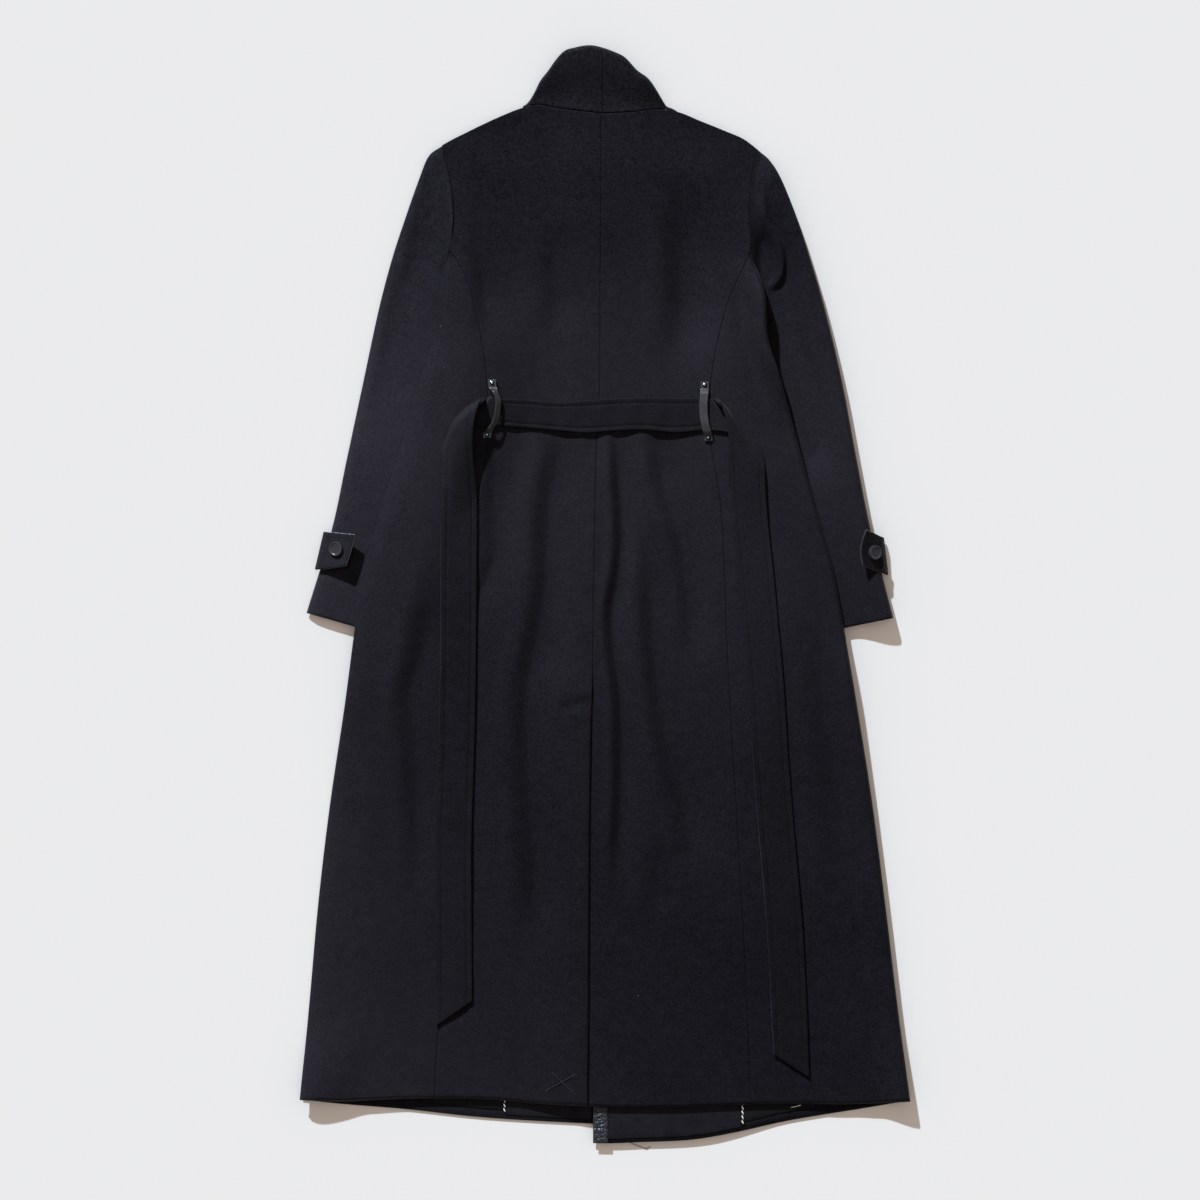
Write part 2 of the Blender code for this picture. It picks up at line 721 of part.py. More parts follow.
def piping(name, x, stop, hem, lapped):
    """Round cord between facing and lining."""
    low = float(hem(x)) + stop
    z = WALL + GAP + PIPING_RADIUS + lapped * float(wrap_lift(np.array(x), np.array(low)))
    bpy.ops.mesh.primitive_cylinder_add(
        vertices=12,
        radius=PIPING_RADIUS * MM,
        depth=(FACING_TOP - low) * MM,
        location=(x * MM, (FACING_TOP + low) / 2 * MM, z * MM),
        rotation=(math.pi / 2, 0, 0),
    )
    return finish(bpy.context.object, name, cord)


def material(name, colour, roughness, metallic=0.0):
    """Plain surface in one colour."""
    look = bpy.data.materials.new(name)
    look.use_nodes = True
    shader = look.node_tree.nodes["Principled BSDF"]
    shader.inputs["Base Color"].default_value = (*colour, 1.0)
    shader.inputs["Roughness"].default_value = roughness
    shader.inputs["Metallic"].default_value = metallic
    return look


for old in list(bpy.data.objects):
    bpy.data.objects.remove(old, do_unlink=True)
coat = bpy.data.collections.new("wrap_coat")
bpy.context.scene.collection.children.link(coat)

wool = material("wool", (0.012, 0.012, 0.015), 0.95)
satin = material("satin", (0.010, 0.010, 0.012), 0.55)
leather = material("leather", (0.008, 0.008, 0.009), 0.28)
nickel = material("nickel", (0.55, 0.55, 0.57), 0.25, 1.0)
horn = material("horn", (0.020, 0.019, 0.020), 0.4)
cord = material("cord", (0.45, 0.42, 0.39), 0.8)

# Fronts, on the table
sheet("front_left", wool, FRONT_COLUMNS, BODY_ROWS, front_left)
sheet("front_right", wool, FRONT_COLUMNS, BODY_ROWS, front_right)

# Sleeves, beside the body and tucked under its sides
sheet("sleeve_under_left", wool, *UNDER_SLEEVE_GRID, sleeve(SLEEVE_LEFT, left_edge, -1, False))
sheet("sleeve_upper_left", wool, *UPPER_SLEEVE_GRID, sleeve(SLEEVE_LEFT, left_edge, -1, True))
sheet("sleeve_under_right", wool, *UNDER_SLEEVE_GRID, sleeve(SLEEVE_RIGHT, right_edge, 1, False))
sheet("sleeve_upper_right", wool, *UPPER_SLEEVE_GRID, sleeve(SLEEVE_RIGHT, right_edge, 1, True))

# Back
sheet("back_center_left", wool, CENTER_COLUMNS, BODY_ROWS, back_center_left)
sheet(
    "back_center_right", wool, VENT_COLUMNS + CENTER_COLUMNS, BODY_ROWS, back_center_right, uncut=over_vent
)
sheet("back_side_left", wool, SIDE_COLUMNS, LOWER_ROWS, back_side_left)
sheet("back_side_right", wool, SIDE_COLUMNS, LOWER_ROWS, back_side_right)

# Collar
sheet("collar_front_left", wool, *COLLAR_FRONT_GRID, collar_front(COLLAR_LEFT, COLLAR_FRONT_EDGES[0], 0))
sheet("collar_front_right", wool, *COLLAR_FRONT_GRID, collar_front(COLLAR_FRONT_EDGES[1], COLLAR_RIGHT, 1))
sheet("collar_back_left", wool, *COLLAR_BACK_GRID, collar_back(COLLAR_LEFT))
sheet("collar_back_right", wool, *COLLAR_BACK_GRID, collar_back(COLLAR_RIGHT))

# Pieces that show at the hem, inside the fronts
for name, (first_x, last_x, stop) in FACINGS.items():
    on_right = first_x > right_front_edge(HEM_LEVEL)
    look = satin if "lining" in name else leather if "binding" in name else wool
    hem = right_hem if on_right else left_hem
    sheet(name, look, *HEM_PIECE_GRID, hem_piece(first_x, last_x, stop, hem, int(on_right)), FACING_WALL)
piping("piping_left", *PIPINGS["piping_left"], left_hem, 0)
piping("piping_right", *PIPINGS["piping_right"], right_hem, 1)

# Belt with its loops and rivets
ribbon("belt_waist", wool, *WAIST_GRID, waist, BELT_WALL)
for name, middle_x in (("belt_tail_left", left_tail), ("belt_tail_right", right_tail)):
    place, rows = tail(middle_x, *TAIL_CUTS[name])
    ribbon(name, wool, TAIL_COLUMNS, rows, place, BELT_WALL)
sheet("belt_loop_left", leather, *LOOP_GRID, loop(LOOP_LEFT), LOOP_WALL)
sheet("belt_loop_right", leather, *LOOP_GRID, loop(LOOP_RIGHT), LOOP_WALL)
for name, table, height in RIVETS:
    rivet(name, table, height)

# Cuff tabs and buttons
left_tab = (TAB_LEFT, TAB_LEFT_TURN, TAB_SEAT_LEFT, TAB_RISE_LEFT)
right_tab = (TAB_RIGHT, TAB_RIGHT_TURN, TAB_SEAT_RIGHT, TAB_RISE_RIGHT)
sheet("cuff_tab_left", wool, *TAB_GRID, tab(*left_tab), TAB_WALL)
sheet("cuff_tab_right", wool, *TAB_GRID, tab(*right_tab), TAB_WALL)
button("button_left", *left_tab, BUTTON_LEFT)
button("button_right", *right_tab, BUTTON_RIGHT)
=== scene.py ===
# %% [markdown]
# # A wool wrap coat, laid flat
# The coat lies on its front, so that its back, its belt and the outer sides of its sleeves show. The solid
# coat was made before, one plain solid for each piece that a maker would cut. This lesson dresses each
# solid in a thin shell of cloth with its creases, adds the sewing, and lights it all as in a studio.

# %% Load the solid coat
import math
import random

import bpy
import numpy as np
from mathutils import Matrix, Vector


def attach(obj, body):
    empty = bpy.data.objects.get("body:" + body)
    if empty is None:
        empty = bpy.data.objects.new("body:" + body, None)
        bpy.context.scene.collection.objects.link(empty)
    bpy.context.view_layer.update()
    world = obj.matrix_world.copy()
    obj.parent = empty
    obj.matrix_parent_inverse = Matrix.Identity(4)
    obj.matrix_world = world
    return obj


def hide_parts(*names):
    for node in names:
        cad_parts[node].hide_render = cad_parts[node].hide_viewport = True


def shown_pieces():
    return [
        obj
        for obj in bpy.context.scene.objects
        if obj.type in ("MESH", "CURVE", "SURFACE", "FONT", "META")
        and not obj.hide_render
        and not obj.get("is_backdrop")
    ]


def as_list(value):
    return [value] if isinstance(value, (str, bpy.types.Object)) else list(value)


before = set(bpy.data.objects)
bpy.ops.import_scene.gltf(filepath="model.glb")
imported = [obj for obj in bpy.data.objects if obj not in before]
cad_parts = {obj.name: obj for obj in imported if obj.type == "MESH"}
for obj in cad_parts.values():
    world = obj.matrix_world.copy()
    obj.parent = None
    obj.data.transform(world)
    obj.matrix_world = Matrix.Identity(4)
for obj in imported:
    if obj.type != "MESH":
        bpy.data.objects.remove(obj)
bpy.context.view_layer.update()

MM = 0.001
print("solid coat:", len(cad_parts), "pieces")

# %% [markdown]
# ## The cut of the coat
# A garment is drawn as flat panels first. These short tables hold the lines that a pattern cutter would
# draw, in millimetres: X across the back, Y toward the collar. They repeat the lines that the solids were
# made from, because a shell of cloth has to have the same outline. Curves are drawn smoothly through the
# rows by one small function.

# %% Lines of the body
# Level | left edge | left princess seam | centre back | right princess seam | right edge
BODY = (
    (558.8, -203.8, -203.8, -5.0, 192.0, 192.0),
    (532.0, -197.0, -197.0, -5.0, 185.0, 185.0),
    (505.0, -192.0, -192.0, -5.0, 181.3, 181.3),
    (456.0, -191.3, -191.3, -5.5, 181.3, 181.3),
    (431.0, -195.6, -194.6, -5.5, 181.5, 182.5),
    (418.8, -197.8, -186.0, -5.5, 177.6, 184.6),
    (400.0, -203.5, -175.0, -5.8, 168.8, 193.0),
    (375.0, -208.8, -166.3, -6.0, 157.5, 199.5),
    (318.8, -215.0, -153.8, -6.0, 141.3, 203.8),
    (268.8, -231.3, -147.5, -6.3, 132.5, 219.3),
    (201.3, -250.0, -145.0, -10.0, 131.3, 238.8),
    (118.8, -276.3, -158.8, -12.0, 143.8, 261.3),
    (18.8, -305.0, -168.8, -13.8, 150.0, 288.8),
    (-56.3, -315.0, -173.8, -15.0, 152.5, 301.3),
    (-131.3, -325.0, -180.0, -16.3, 156.3, 313.8),
    (-256.3, -343.8, -190.0, -18.5, 163.8, 333.8),
    (-381.3, -358.8, -198.8, -19.4, 171.3, 350.0),
    (-506.3, -370.0, -206.3, -20.0, 177.5, 365.0),
    (-640.0, -382.5, -214.0, -21.3, 183.0, 382.5),
)

# Across | neck seam and shoulder line
TOP = (
    (-203.8, 562.8), (-198.8, 565.8), (-172.5, 579.3), (-131.3, 598.8), (-106.3, 608.8),
    (-87.5, 613.5), (-56.3, 608.8), (-18.8, 603.8), (-2.5, 602.5), (31.3, 603.8),
    (77.5, 607.0), (92.5, 603.8), (117.5, 593.8), (148.8, 581.3), (176.3, 568.8),
    (192.5, 556.3),
)

# Across | back hem | left front hem | right front hem
HEM = (
    (-382.5, -631.3, -632.5, -632.5),
    (-333.8, -634.0, -637.5, -637.5),
    (-255.0, -631.3, -643.8, -643.8),
    (-162.5, -631.3, -653.8, -653.8),
    (-67.5, -638.0, -660.0, -680.0),
    (-15.0, -639.5, -662.5, -686.3),
    (46.3, -642.0, -664.0, -685.0),
    (116.3, -641.0, -664.0, -681.3),
    (160.0, -638.8, -664.0, -673.8),
    (230.0, -637.5, -664.0, -658.8),
    (321.3, -637.5, -664.0, -643.8),
    (382.5, -633.0, -664.0, -633.8),
)

# Level | hidden edge of the left front | edge of the right front that lies on it
FRONT_EDGE = ((610.0, 55.0, -12.0), (200.0, 110.0, -14.0), (-690.0, 120.0, -15.0))

# Ends of the shoulder line, middle of the neck seam, level of neck and hem
SHOULDER_LEFT = -203.8
SHOULDER_RIGHT = 192.0
NECK_MIDDLE = -5.0
NECK_LEVEL = 602.0
HEM_LEVEL = -640.0
SEAM_START = 431.0
VENT_TOP = -133.0
VENT_LAP = 28.0
GAP = 0.3
SEWN_GAP = 0.8

# %% Lines of the collar and sleeves
# Across | upper outline of the collar
COLLAR_TOP = (
    (-103.0, 612.3), (-98.0, 615.6), (-94.0, 620.3), (-88.8, 629.0), (-81.3, 643.8),
    (-71.3, 656.3), (-62.5, 668.8), (-51.3, 680.5), (-37.5, 685.0), (-16.3, 687.5),
    (-2.5, 684.5), (10.0, 680.0), (25.0, 672.5), (40.0, 656.5), (56.3, 643.8),
    (65.0, 631.3), (72.5, 618.8), (76.5, 612.6), (83.0, 609.8), (90.0, 606.3),
)
COLLAR_LEFT = -103.0
COLLAR_MIDDLE = -2.5
COLLAR_RIGHT = 90.0

# Station | outer x | outer y | inner x | inner y
SLEEVE_LEFT = (
    (0, -204.1, 563.0, -201.5, 404.0),
    (1, -221.3, 548.8, -200.6, 396.0),
    (2, -233.8, 518.8, -198.0, 386.0),
    (3, -251.3, 468.8, -191.3, 362.5),
    (4, -267.5, 418.8, -183.8, 333.8),
    (5, -283.8, 356.3, -186.3, 287.5),
    (6, -302.5, 268.8, -197.5, 218.8),
    (7, -323.8, 168.8, -218.8, 131.3),
    (8, -342.5, 81.3, -241.3, 50.0),
    (9, -373.8, -22.5, -263.8, -53.8),
)
SLEEVE_RIGHT = (
    (0, 192.3, 559.0, 201.0, 379.0),
    (1, 206.3, 543.8, 201.5, 372.0),
    (2, 221.3, 518.8, 201.0, 363.8),
    (3, 241.3, 468.8, 196.3, 341.3),
    (4, 257.5, 418.8, 187.5, 312.5),
    (5, 275.0, 358.8, 182.5, 271.3),
    (6, 296.3, 268.8, 190.0, 218.8),
    (7, 315.0, 168.8, 208.8, 131.3),
    (8, 332.5, 81.3, 231.3, 50.0),
    (9, 360.6, -28.8, 251.3, -51.3),
)
ARMHOLE_FADE = 3.0


# %% Smooth curves through a table
def smooth(table, column):
    """Smooth curve through one column of a table, read against its first column."""
    rows = np.array(sorted(table), float)
    at = rows[:, 0]
    value = rows[:, column]
    slope = np.gradient(value, at)

    def read(where):
        where = np.clip(where, at[0], at[-1])
        k = np.clip(np.searchsorted(at, where) - 1, 0, len(at) - 2)
        step = at[k + 1] - at[k]
        f = (where - at[k]) / step
        start = (2 * f**3 - 3 * f**2 + 1) * value[k] + (f**3 - 2 * f**2 + f) * step * slope[k]
        end = (3 * f**2 - 2 * f**3) * value[k + 1] + (f**3 - f**2) * step * slope[k + 1]
        return start + end

    return read


def ramp(where, start, end):
    """Soft step from 0 at start to 1 at end."""
    f = np.clip((where - start) / (end - start), 0.0, 1.0)
    return f * f * (3 - 2 * f)


def mix(a, b, f):
    """Value that runs from a to b as f runs from 0 to 1."""
    return a + (b - a) * f


left_edge, left_seam, centre, right_seam, right_edge = [smooth(BODY, k) for k in range(1, 6)]
top_line = smooth(TOP, 1)
back_hem, left_hem, right_hem = [smooth(HEM, k) for k in range(1, 4)]
left_front_edge, right_front_edge = [smooth(FRONT_EDGE, k) for k in range(1, 3)]
collar_line = smooth(COLLAR_TOP, 1)
left_inner = smooth([(row[4], row[3]) for row in SLEEVE_LEFT], 1)
right_inner = smooth([(row[4], row[3]) for row in SLEEVE_RIGHT], 1)
print("back hem at the middle:", float(back_hem(0.0)))

# %% [markdown]
# ## How the layers lie on each other
# The sleeves lie on the table, the fronts pass over their inner edges, the right front wraps over the left
# one, and the back lies on top. Each height below is the one that the solids have, so every shell sits on
# its own solid.

# %% Heights of the layers
WALL = 3.0
SLEEVE_ARCH = 3.4
SLEEVE_ROUND = 0.8
ARMHOLE_ARCH = 0.45
ARMHOLE_GROW = 1.5
SLEEVE_COVER = 10.2
COVER_MARGIN = 8.0
COVER_FALL = 100.0
PUFF = 5.5
EDGE_PUFF = 1.3
EDGE_PUFF_WIDTH = 60.0
SHOULDER_PUFF = (590.0, 520.0)
SLEEVE_TUCK_LEFT = (500.0, 430.0)
SLEEVE_TUCK_RIGHT = (485.0, 410.0)
SLEEVE_END = (-60.0, -150.0)
LAID_GAP = 0.7
VENT_FADE = 60.0
VENT_EASE = 6.0
VENT_RISE = (62.0, 2.0)


def cover(x, y, inner, out, tuck):
    """Height at which a front passes over the sleeve that is tucked under it."""
    along = ramp(y, *tuck) * ramp(y, SLEEVE_END[1], SLEEVE_END[0])
    edge = inner(y) - out * COVER_MARGIN
    return SLEEVE_COVER * along * ramp(x, edge - out * COVER_FALL, edge)


def wrap_lift(x, y):
    """Rise of the right front over the left one."""
    edge = left_front_edge(y) + COVER_MARGIN
    return (WALL + GAP) * ramp(x, edge + COVER_FALL, edge)


BACK_TUCK = (590.0, 400.0)
BACK_END = (0.0, -300.0)


def fronts_top(x, y):
    """Upper face of the fronts as the back lies on it, more softly than they lie on the sleeves."""
    near = right_front_edge(y) - COVER_MARGIN
    lapped = ramp(x, near - COVER_FALL / 2, near)
    along = ramp(y, *BACK_TUCK) * ramp(y, BACK_END[1], BACK_END[0])
    left = left_inner(y) + COVER_MARGIN
    right = right_inner(y) - COVER_MARGIN
    over = ramp(x, left + COVER_FALL, left) + ramp(x, right - COVER_FALL, right)
    return WALL + SLEEVE_COVER * along * over + lapped * wrap_lift(x, y)


# %% [markdown]
# ## Creases placed one by one
# Wool that has been folded away keeps long soft troughs. Blender's cloth simulation would give other
# creases than the real coat's, so each main crease is a short list of places that it runs through, with its
# depth and half its width. The cloth swells a little on the left of that line, drops steeply at it and
# comes up slowly on its right, which under a light from the upper left reads as a fold. A few slow waves
# keep the rest from being flat.

# %% Main creases
# Name | (level, across) along the crease | depth | half width
BACK_CREASES = {
    "below belt, middle": (((185, 16), (50, 21), (-26, 10), (-134, 20), (-215, 21), (-330, 17)), 5.4, 7.5),
    "below belt, left": (
        ((185, -56), (104, -67), (-5, -72), (-119, -94), (-269, -89), (-405, -81)),
        5.4,
        15.0,
    ),
    "below belt, outer left": (((185, -135), (104, -137), (50, -135), (1, -154)), 2.4, 11.0),
    "below belt, right": (((190, 68), (131, 77), (77, 95), (15, 107), (-60, 112)), 5.0, 13.0),
    "skirt, right of middle": (
        ((60, 56), (-5, 60), (-134, 71), (-174, 77), (-236, 94), (-310, 112)),
        5.4,
        13.0,
    ),
    "skirt, low": (((-319, 70), (-391, 69)), 2.5, 12.0),
    "skirt, left": (((-5, -216), (-72, -227), (-112, -239), (-241, -232), (-350, -230)), 4.4, 14.0),
    "skirt, right": (((-80, 268), (-200, 285), (-380, 296)), 2.5, 16.0),
    "shoulder blade, left": (((516, -165), (444, -156), (342, -145)), 5.6, 15.0),
    "upper back, left": (((450, -62), (345, -55)), 3.4, 15.0),
    "shoulder blade, right": (((494, 96), (325, 99)), 4.8, 17.0),
}
SLEEVE_CREASES = {
    "left sleeve": (
        ((529, -219), (484, -225), (435, -232), (375, -255), (326, -269), (280, -274), (239, -277)),
        2.6,
        12.0,
    ),
    "right sleeve, hollow": (((440, 195), (421, 194), (402, 196), (380, 203)), 2.6, 5.0),
    "right sleeve, beside the body": (
        ((440, 195), (345, 213), (300, 225), (240, 239), (165, 256)),
        9.0,
        14.0,
    ),
}
# Way over which a crease ends, swell on its left side, and in half widths: how far off that swell is and how
# far the crease reaches. On its right side the cloth comes up over a longer way, by the factor of its ease.
CREASE_FADE = 95.0
BACK_SWELL = 0.45
SLEEVE_SWELL = 0.25
SWELL_AWAY = 1.9
CREASE_REACH = 5
CREASE_EASE = 2.6

# The right sleeve's rolled fold: (level, across) along its outer edge, its height and its width
ROLL = ((540, 197), (502, 199), (467, 207), (442, 220), (419, 225), (394, 221), (376, 207))
ROLL_HEIGHT = 8.0
ROLL_WIDTH = 24.0
ROLL_DROP = 3.5
ROLL_FOOT = (-6.0, 14.0)


def rolled(x, y):
    """Height of the fold that has rolled over on the right sleeve, below its shoulder."""
    off = x - smooth(ROLL, 1)(y)
    foot = ROLL[-1][0]
    grown = ramp(y, ROLL[0][0], ROLL[2][0]) * ramp(y, foot + ROLL_FOOT[0], foot + ROLL_FOOT[1])
    return ROLL_HEIGHT * grown * ramp(off, ROLL_DROP, -ROLL_DROP) * ramp(off, -ROLL_WIDTH, -ROLL_WIDTH / 3)


def creases(x, y, table, swell):
    """Depth of the creases at a place, negative where the cloth swells beside one."""
    depth = np.zeros(np.shape(x))
    for path, deep, half in table.values():
        line = smooth(path, 1)
        top = path[0][0]
        foot = path[-1][0]
        fade = min(CREASE_FADE, (top - foot) / 2)
        inside = ramp(y, top + fade / 2, top - fade / 2) * ramp(y, foot - fade / 2, foot + fade / 2)
        off = np.clip((x - line(y)) / half, -CREASE_REACH, CREASE_REACH * CREASE_EASE)
        eased = np.where(off > 0, off / CREASE_EASE, off)
        dip = np.exp(-(eased**2)) - swell * np.exp(-((off + SWELL_AWAY) ** 2))
        depth = depth + deep * inside * dip
    return depth


# %% Slow waves
WAVE_COUNT = 8
WAVE_HEIGHT = 0.30
WAVE_ACROSS = (55.0, 140.0)
WAVE_ALONG = (150.0, 420.0)
WAVE_SEED = 11
chance = random.Random(WAVE_SEED)
waves = []
for k in range(WAVE_COUNT):
    across = 2 * math.pi / chance.uniform(*WAVE_ACROSS)
    along = 2 * math.pi / chance.uniform(*WAVE_ALONG) * chance.choice((-1, 1))
    waves.append((across, along, chance.uniform(0, 2 * math.pi)))


def ripple(x, y):
    """Slow uneven waves of cloth that has been handled."""
    return WAVE_HEIGHT * sum(np.sin(a * x + b * y + c) for a, b, c in waves) / math.sqrt(WAVE_COUNT)


print("creases on the back:", len(BACK_CREASES), "and on the sleeves:", len(SLEEVE_CREASES))


# %% Upper face of the back
# Least room between the fronts and the back
LEAST_ROOM = 0.2
# Right edge of the body, held off the sleeve: levels, height and width
HELD_OFF = (425.0, 365.0, 300.0, 195.0)
HELD_OFF_LIFT = 13.5
HELD_OFF_WIDTH = 35.0
SKIRT_LIFT = 9.0
SKIRT_LIFT_WIDTH = 45.0
SKIRT_LIFT_TOP = (0.0, -130.0)
# Lift of the left and the right hem corner
CORNER_LIFT = (13.0, 6.0)
CORNER_CHANGE = (-1.0, 1.0)
CORNER_WIDTH = 80.0
CORNER_HEIGHT = (-520.0, -636.0)


def back_top(x, y, creased=True):
    """Upper face of the back, with or without its creases and the lift of its edges."""
    room = np.minimum(x - left_edge(y), right_edge(y) - x)
    low = ramp(room, 0.0, EDGE_PUFF_WIDTH) * ramp(y, *SHOULDER_PUFF)
    soft = mix(EDGE_PUFF, PUFF, low)
    if creased:
        soft = soft + (ripple(x, y) - creases(x, y, BACK_CREASES, BACK_SWELL)) * low
        soft = soft + SKIRT_LIFT * ramp(y, *SKIRT_LIFT_TOP) * ramp(right_edge(y) - x, SKIRT_LIFT_WIDTH, 0.0)
        corner = mix(*CORNER_LIFT, ramp(x, *CORNER_CHANGE)) * ramp(room, CORNER_WIDTH, 0.0)
        soft = soft + corner * ramp(y, *CORNER_HEIGHT)
        held = ramp(y, HELD_OFF[0], HELD_OFF[1]) * ramp(y, HELD_OFF[3], HELD_OFF[2])
        soft = soft + HELD_OFF_LIFT * held * ramp(right_edge(y) - x, HELD_OFF_WIDTH, 0.0)
    return fronts_top(x, y) + GAP + np.maximum(soft, LEAST_ROOM) + WALL


def vent_lift(x, y):
    """Rise of the left back panel over the part of the right one that lies under it."""
    away = centre(y) - x
    down = ramp(y, VENT_TOP + VENT_RISE[0], VENT_TOP + VENT_RISE[1])
    return (WALL + LAID_GAP) * down * ramp(away, VENT_LAP + VENT_FADE, VENT_LAP + VENT_EASE)


# Ends of the slanted stitch line at the top of the vent: across and level
VENT_STITCH = ((-58.8, -140.5), (-15.5, -129.5))
STITCH_DIP = 1.5
STITCH_DIP_WIDTH = 3.6
STITCH_DIP_ENDS = (-0.1, 0.2, 0.9, 1.1)


def stitched_down(x, y):
    """Dip of the left back panel along the stitch line at the top of the vent."""
    (start_x, start_y), (end_x, end_y) = VENT_STITCH
    share = (x - start_x) / (end_x - start_x)
    off = (y - mix(start_y, end_y, share)) / STITCH_DIP_WIDTH
    dip = np.exp(-(np.where(off < 0, off / CREASE_EASE, off) ** 2))
    before, start, end, after = STITCH_DIP_ENDS
    return STITCH_DIP * dip * ramp(share, before, start) * ramp(share, after, end)


# %% [markdown]
# ## Wool, lining, leather and metal
# The coat is black wool with a cool cast and a short brushed nap. Most of its tone is the shine of that
# nap, and the shader's specular level holds painted light: it is painted brighter and darker with the level
# on the coat, and brighter toward its lower left, for how the light falls. It also varies at random in
# cloudy patches and in fine flecks. A little sheen stands for the fuzz, noise makes the colour cloudy and
# the nap uneven, and a sparse Voronoi pattern leaves specks of lint. The patterns read Object coordinates in
# metres, so their scales are real sizes: scale 900 gives features of about 1 mm. Some parts take copies of
# the wool with more or less shine, painted lighter or darker for the light and shade on them.


# %% Helpers for materials
def colour(code):
    """Linear colour with full alpha from an sRGB hex code."""
    parts = [int(code[k : k + 2], 16) / 255 for k in (0, 2, 4)]
    linear = [p / 12.92 if p <= 0.04045 else ((p + 0.055) / 1.055) ** 2.4 for p in parts]
    return (*linear, 1.0)


def add(look, kind, inputs, **settings):
    """Add a node to a material, with its settings, its constant inputs and its links."""
    node = look.node_tree.nodes.new(kind)
    for name, value in settings.items():
        setattr(node, name, value)
    for name, value in inputs.items():
        if isinstance(value, bpy.types.NodeSocket):
            look.node_tree.links.new(value, node.inputs[name])
        else:
            node.inputs[name].default_value = value
    return node


def surface(name, code, roughness, **inputs):
    """New material whose shader has these constant values."""
    look = bpy.data.materials.new(name)
    look.use_nodes = True
    shader = look.node_tree.nodes["Principled BSDF"]
    shader.inputs["Base Color"].default_value = colour(code)
    shader.inputs["Roughness"].default_value = roughness
    for key, value in inputs.items():
        shader.inputs[key.replace("_", " ")].default_value = value
    return look


def feed(look, output, name):
    """Lead a node's output into the shader of its material."""
    look.node_tree.links.new(output, look.node_tree.nodes["Principled BSDF"].inputs[name])


def spread(look, value, start, end, low, high):
    """Value that runs from low to high as the one given runs from start to end."""
    inputs = {"Value": value, "From Min": start, "From Max": end, "To Min": low, "To Max": high}
    return add(look, "ShaderNodeMapRange", inputs).outputs["Result"]


def combine(look, operation, first, second):
    """Sum or product of two values."""
    return add(look, "ShaderNodeMath", {0: first, 1: second}, operation=operation).outputs["Value"]


def noise(look, place, scale, detail, roughness):
    """Cloudy pattern with that many features in a metre."""
    inputs = {"Vector": place, "Scale": scale, "Detail": detail, "Roughness": roughness}
    return add(look, "ShaderNodeTexNoise", inputs).outputs["Fac"]


def bumped(look, height, strength, deep):
    """Raise the surface in the shader by a pattern, to a depth in metres."""
    bump = add(look, "ShaderNodeBump", {"Height": height, "Strength": strength, "Distance": deep})
    feed(look, bump.outputs["Normal"], "Normal")


# %% Brushed wool
WOOL_ROUGHNESS = 0.74
SHINE_TINT = "ffebff"
# Lint: specks in a metre, size as a share of their spacing, strength and colour
SPECKS_PER_METRE = 26.0
SPECK_SIZE = (0.010, 0.019)
SPECK_SHARE = 0.45
LINT = "b9b5bd"
# Level in metres | share of the painted sheen there, brighter and darker for how the light falls
PAINTED_SHEEN = ((-0.62, 0.28), (-0.45, 0.23), (-0.19, 0.33), (0.18, 0.60), (0.30, 0.55), (0.45, 0.25), (0.62, 0.22))
# More painted sheen toward the lower left, for how the light falls: its direction, where it starts and ends
# in metres, how much
PAINTED_CORNER_WAY = (-0.75, -0.45, 0.0)
PAINTED_CORNER_SHEEN = (0.20, 0.48, 0.36)
# Patterns: features in a metre, detail, roughness; then how much or where they change the wool
PATCH = (8.0, 3.0, 0.5)
PATCH_SHARE = 0.24
FLECK = (320.0, 5.0, 0.75)
FLECK_SHARE = 1.3
CLOUD = (75.0, 6.0, 0.7)
CLOUD_STOPS = (0.34, 0.66)
NAP = (900.0, 4.0, 0.75)
NAP_STRENGTH = 0.6
NAP_DEPTH = 0.0008
FUZZ = 0.045
FUZZ_ROUGHNESS = 0.45


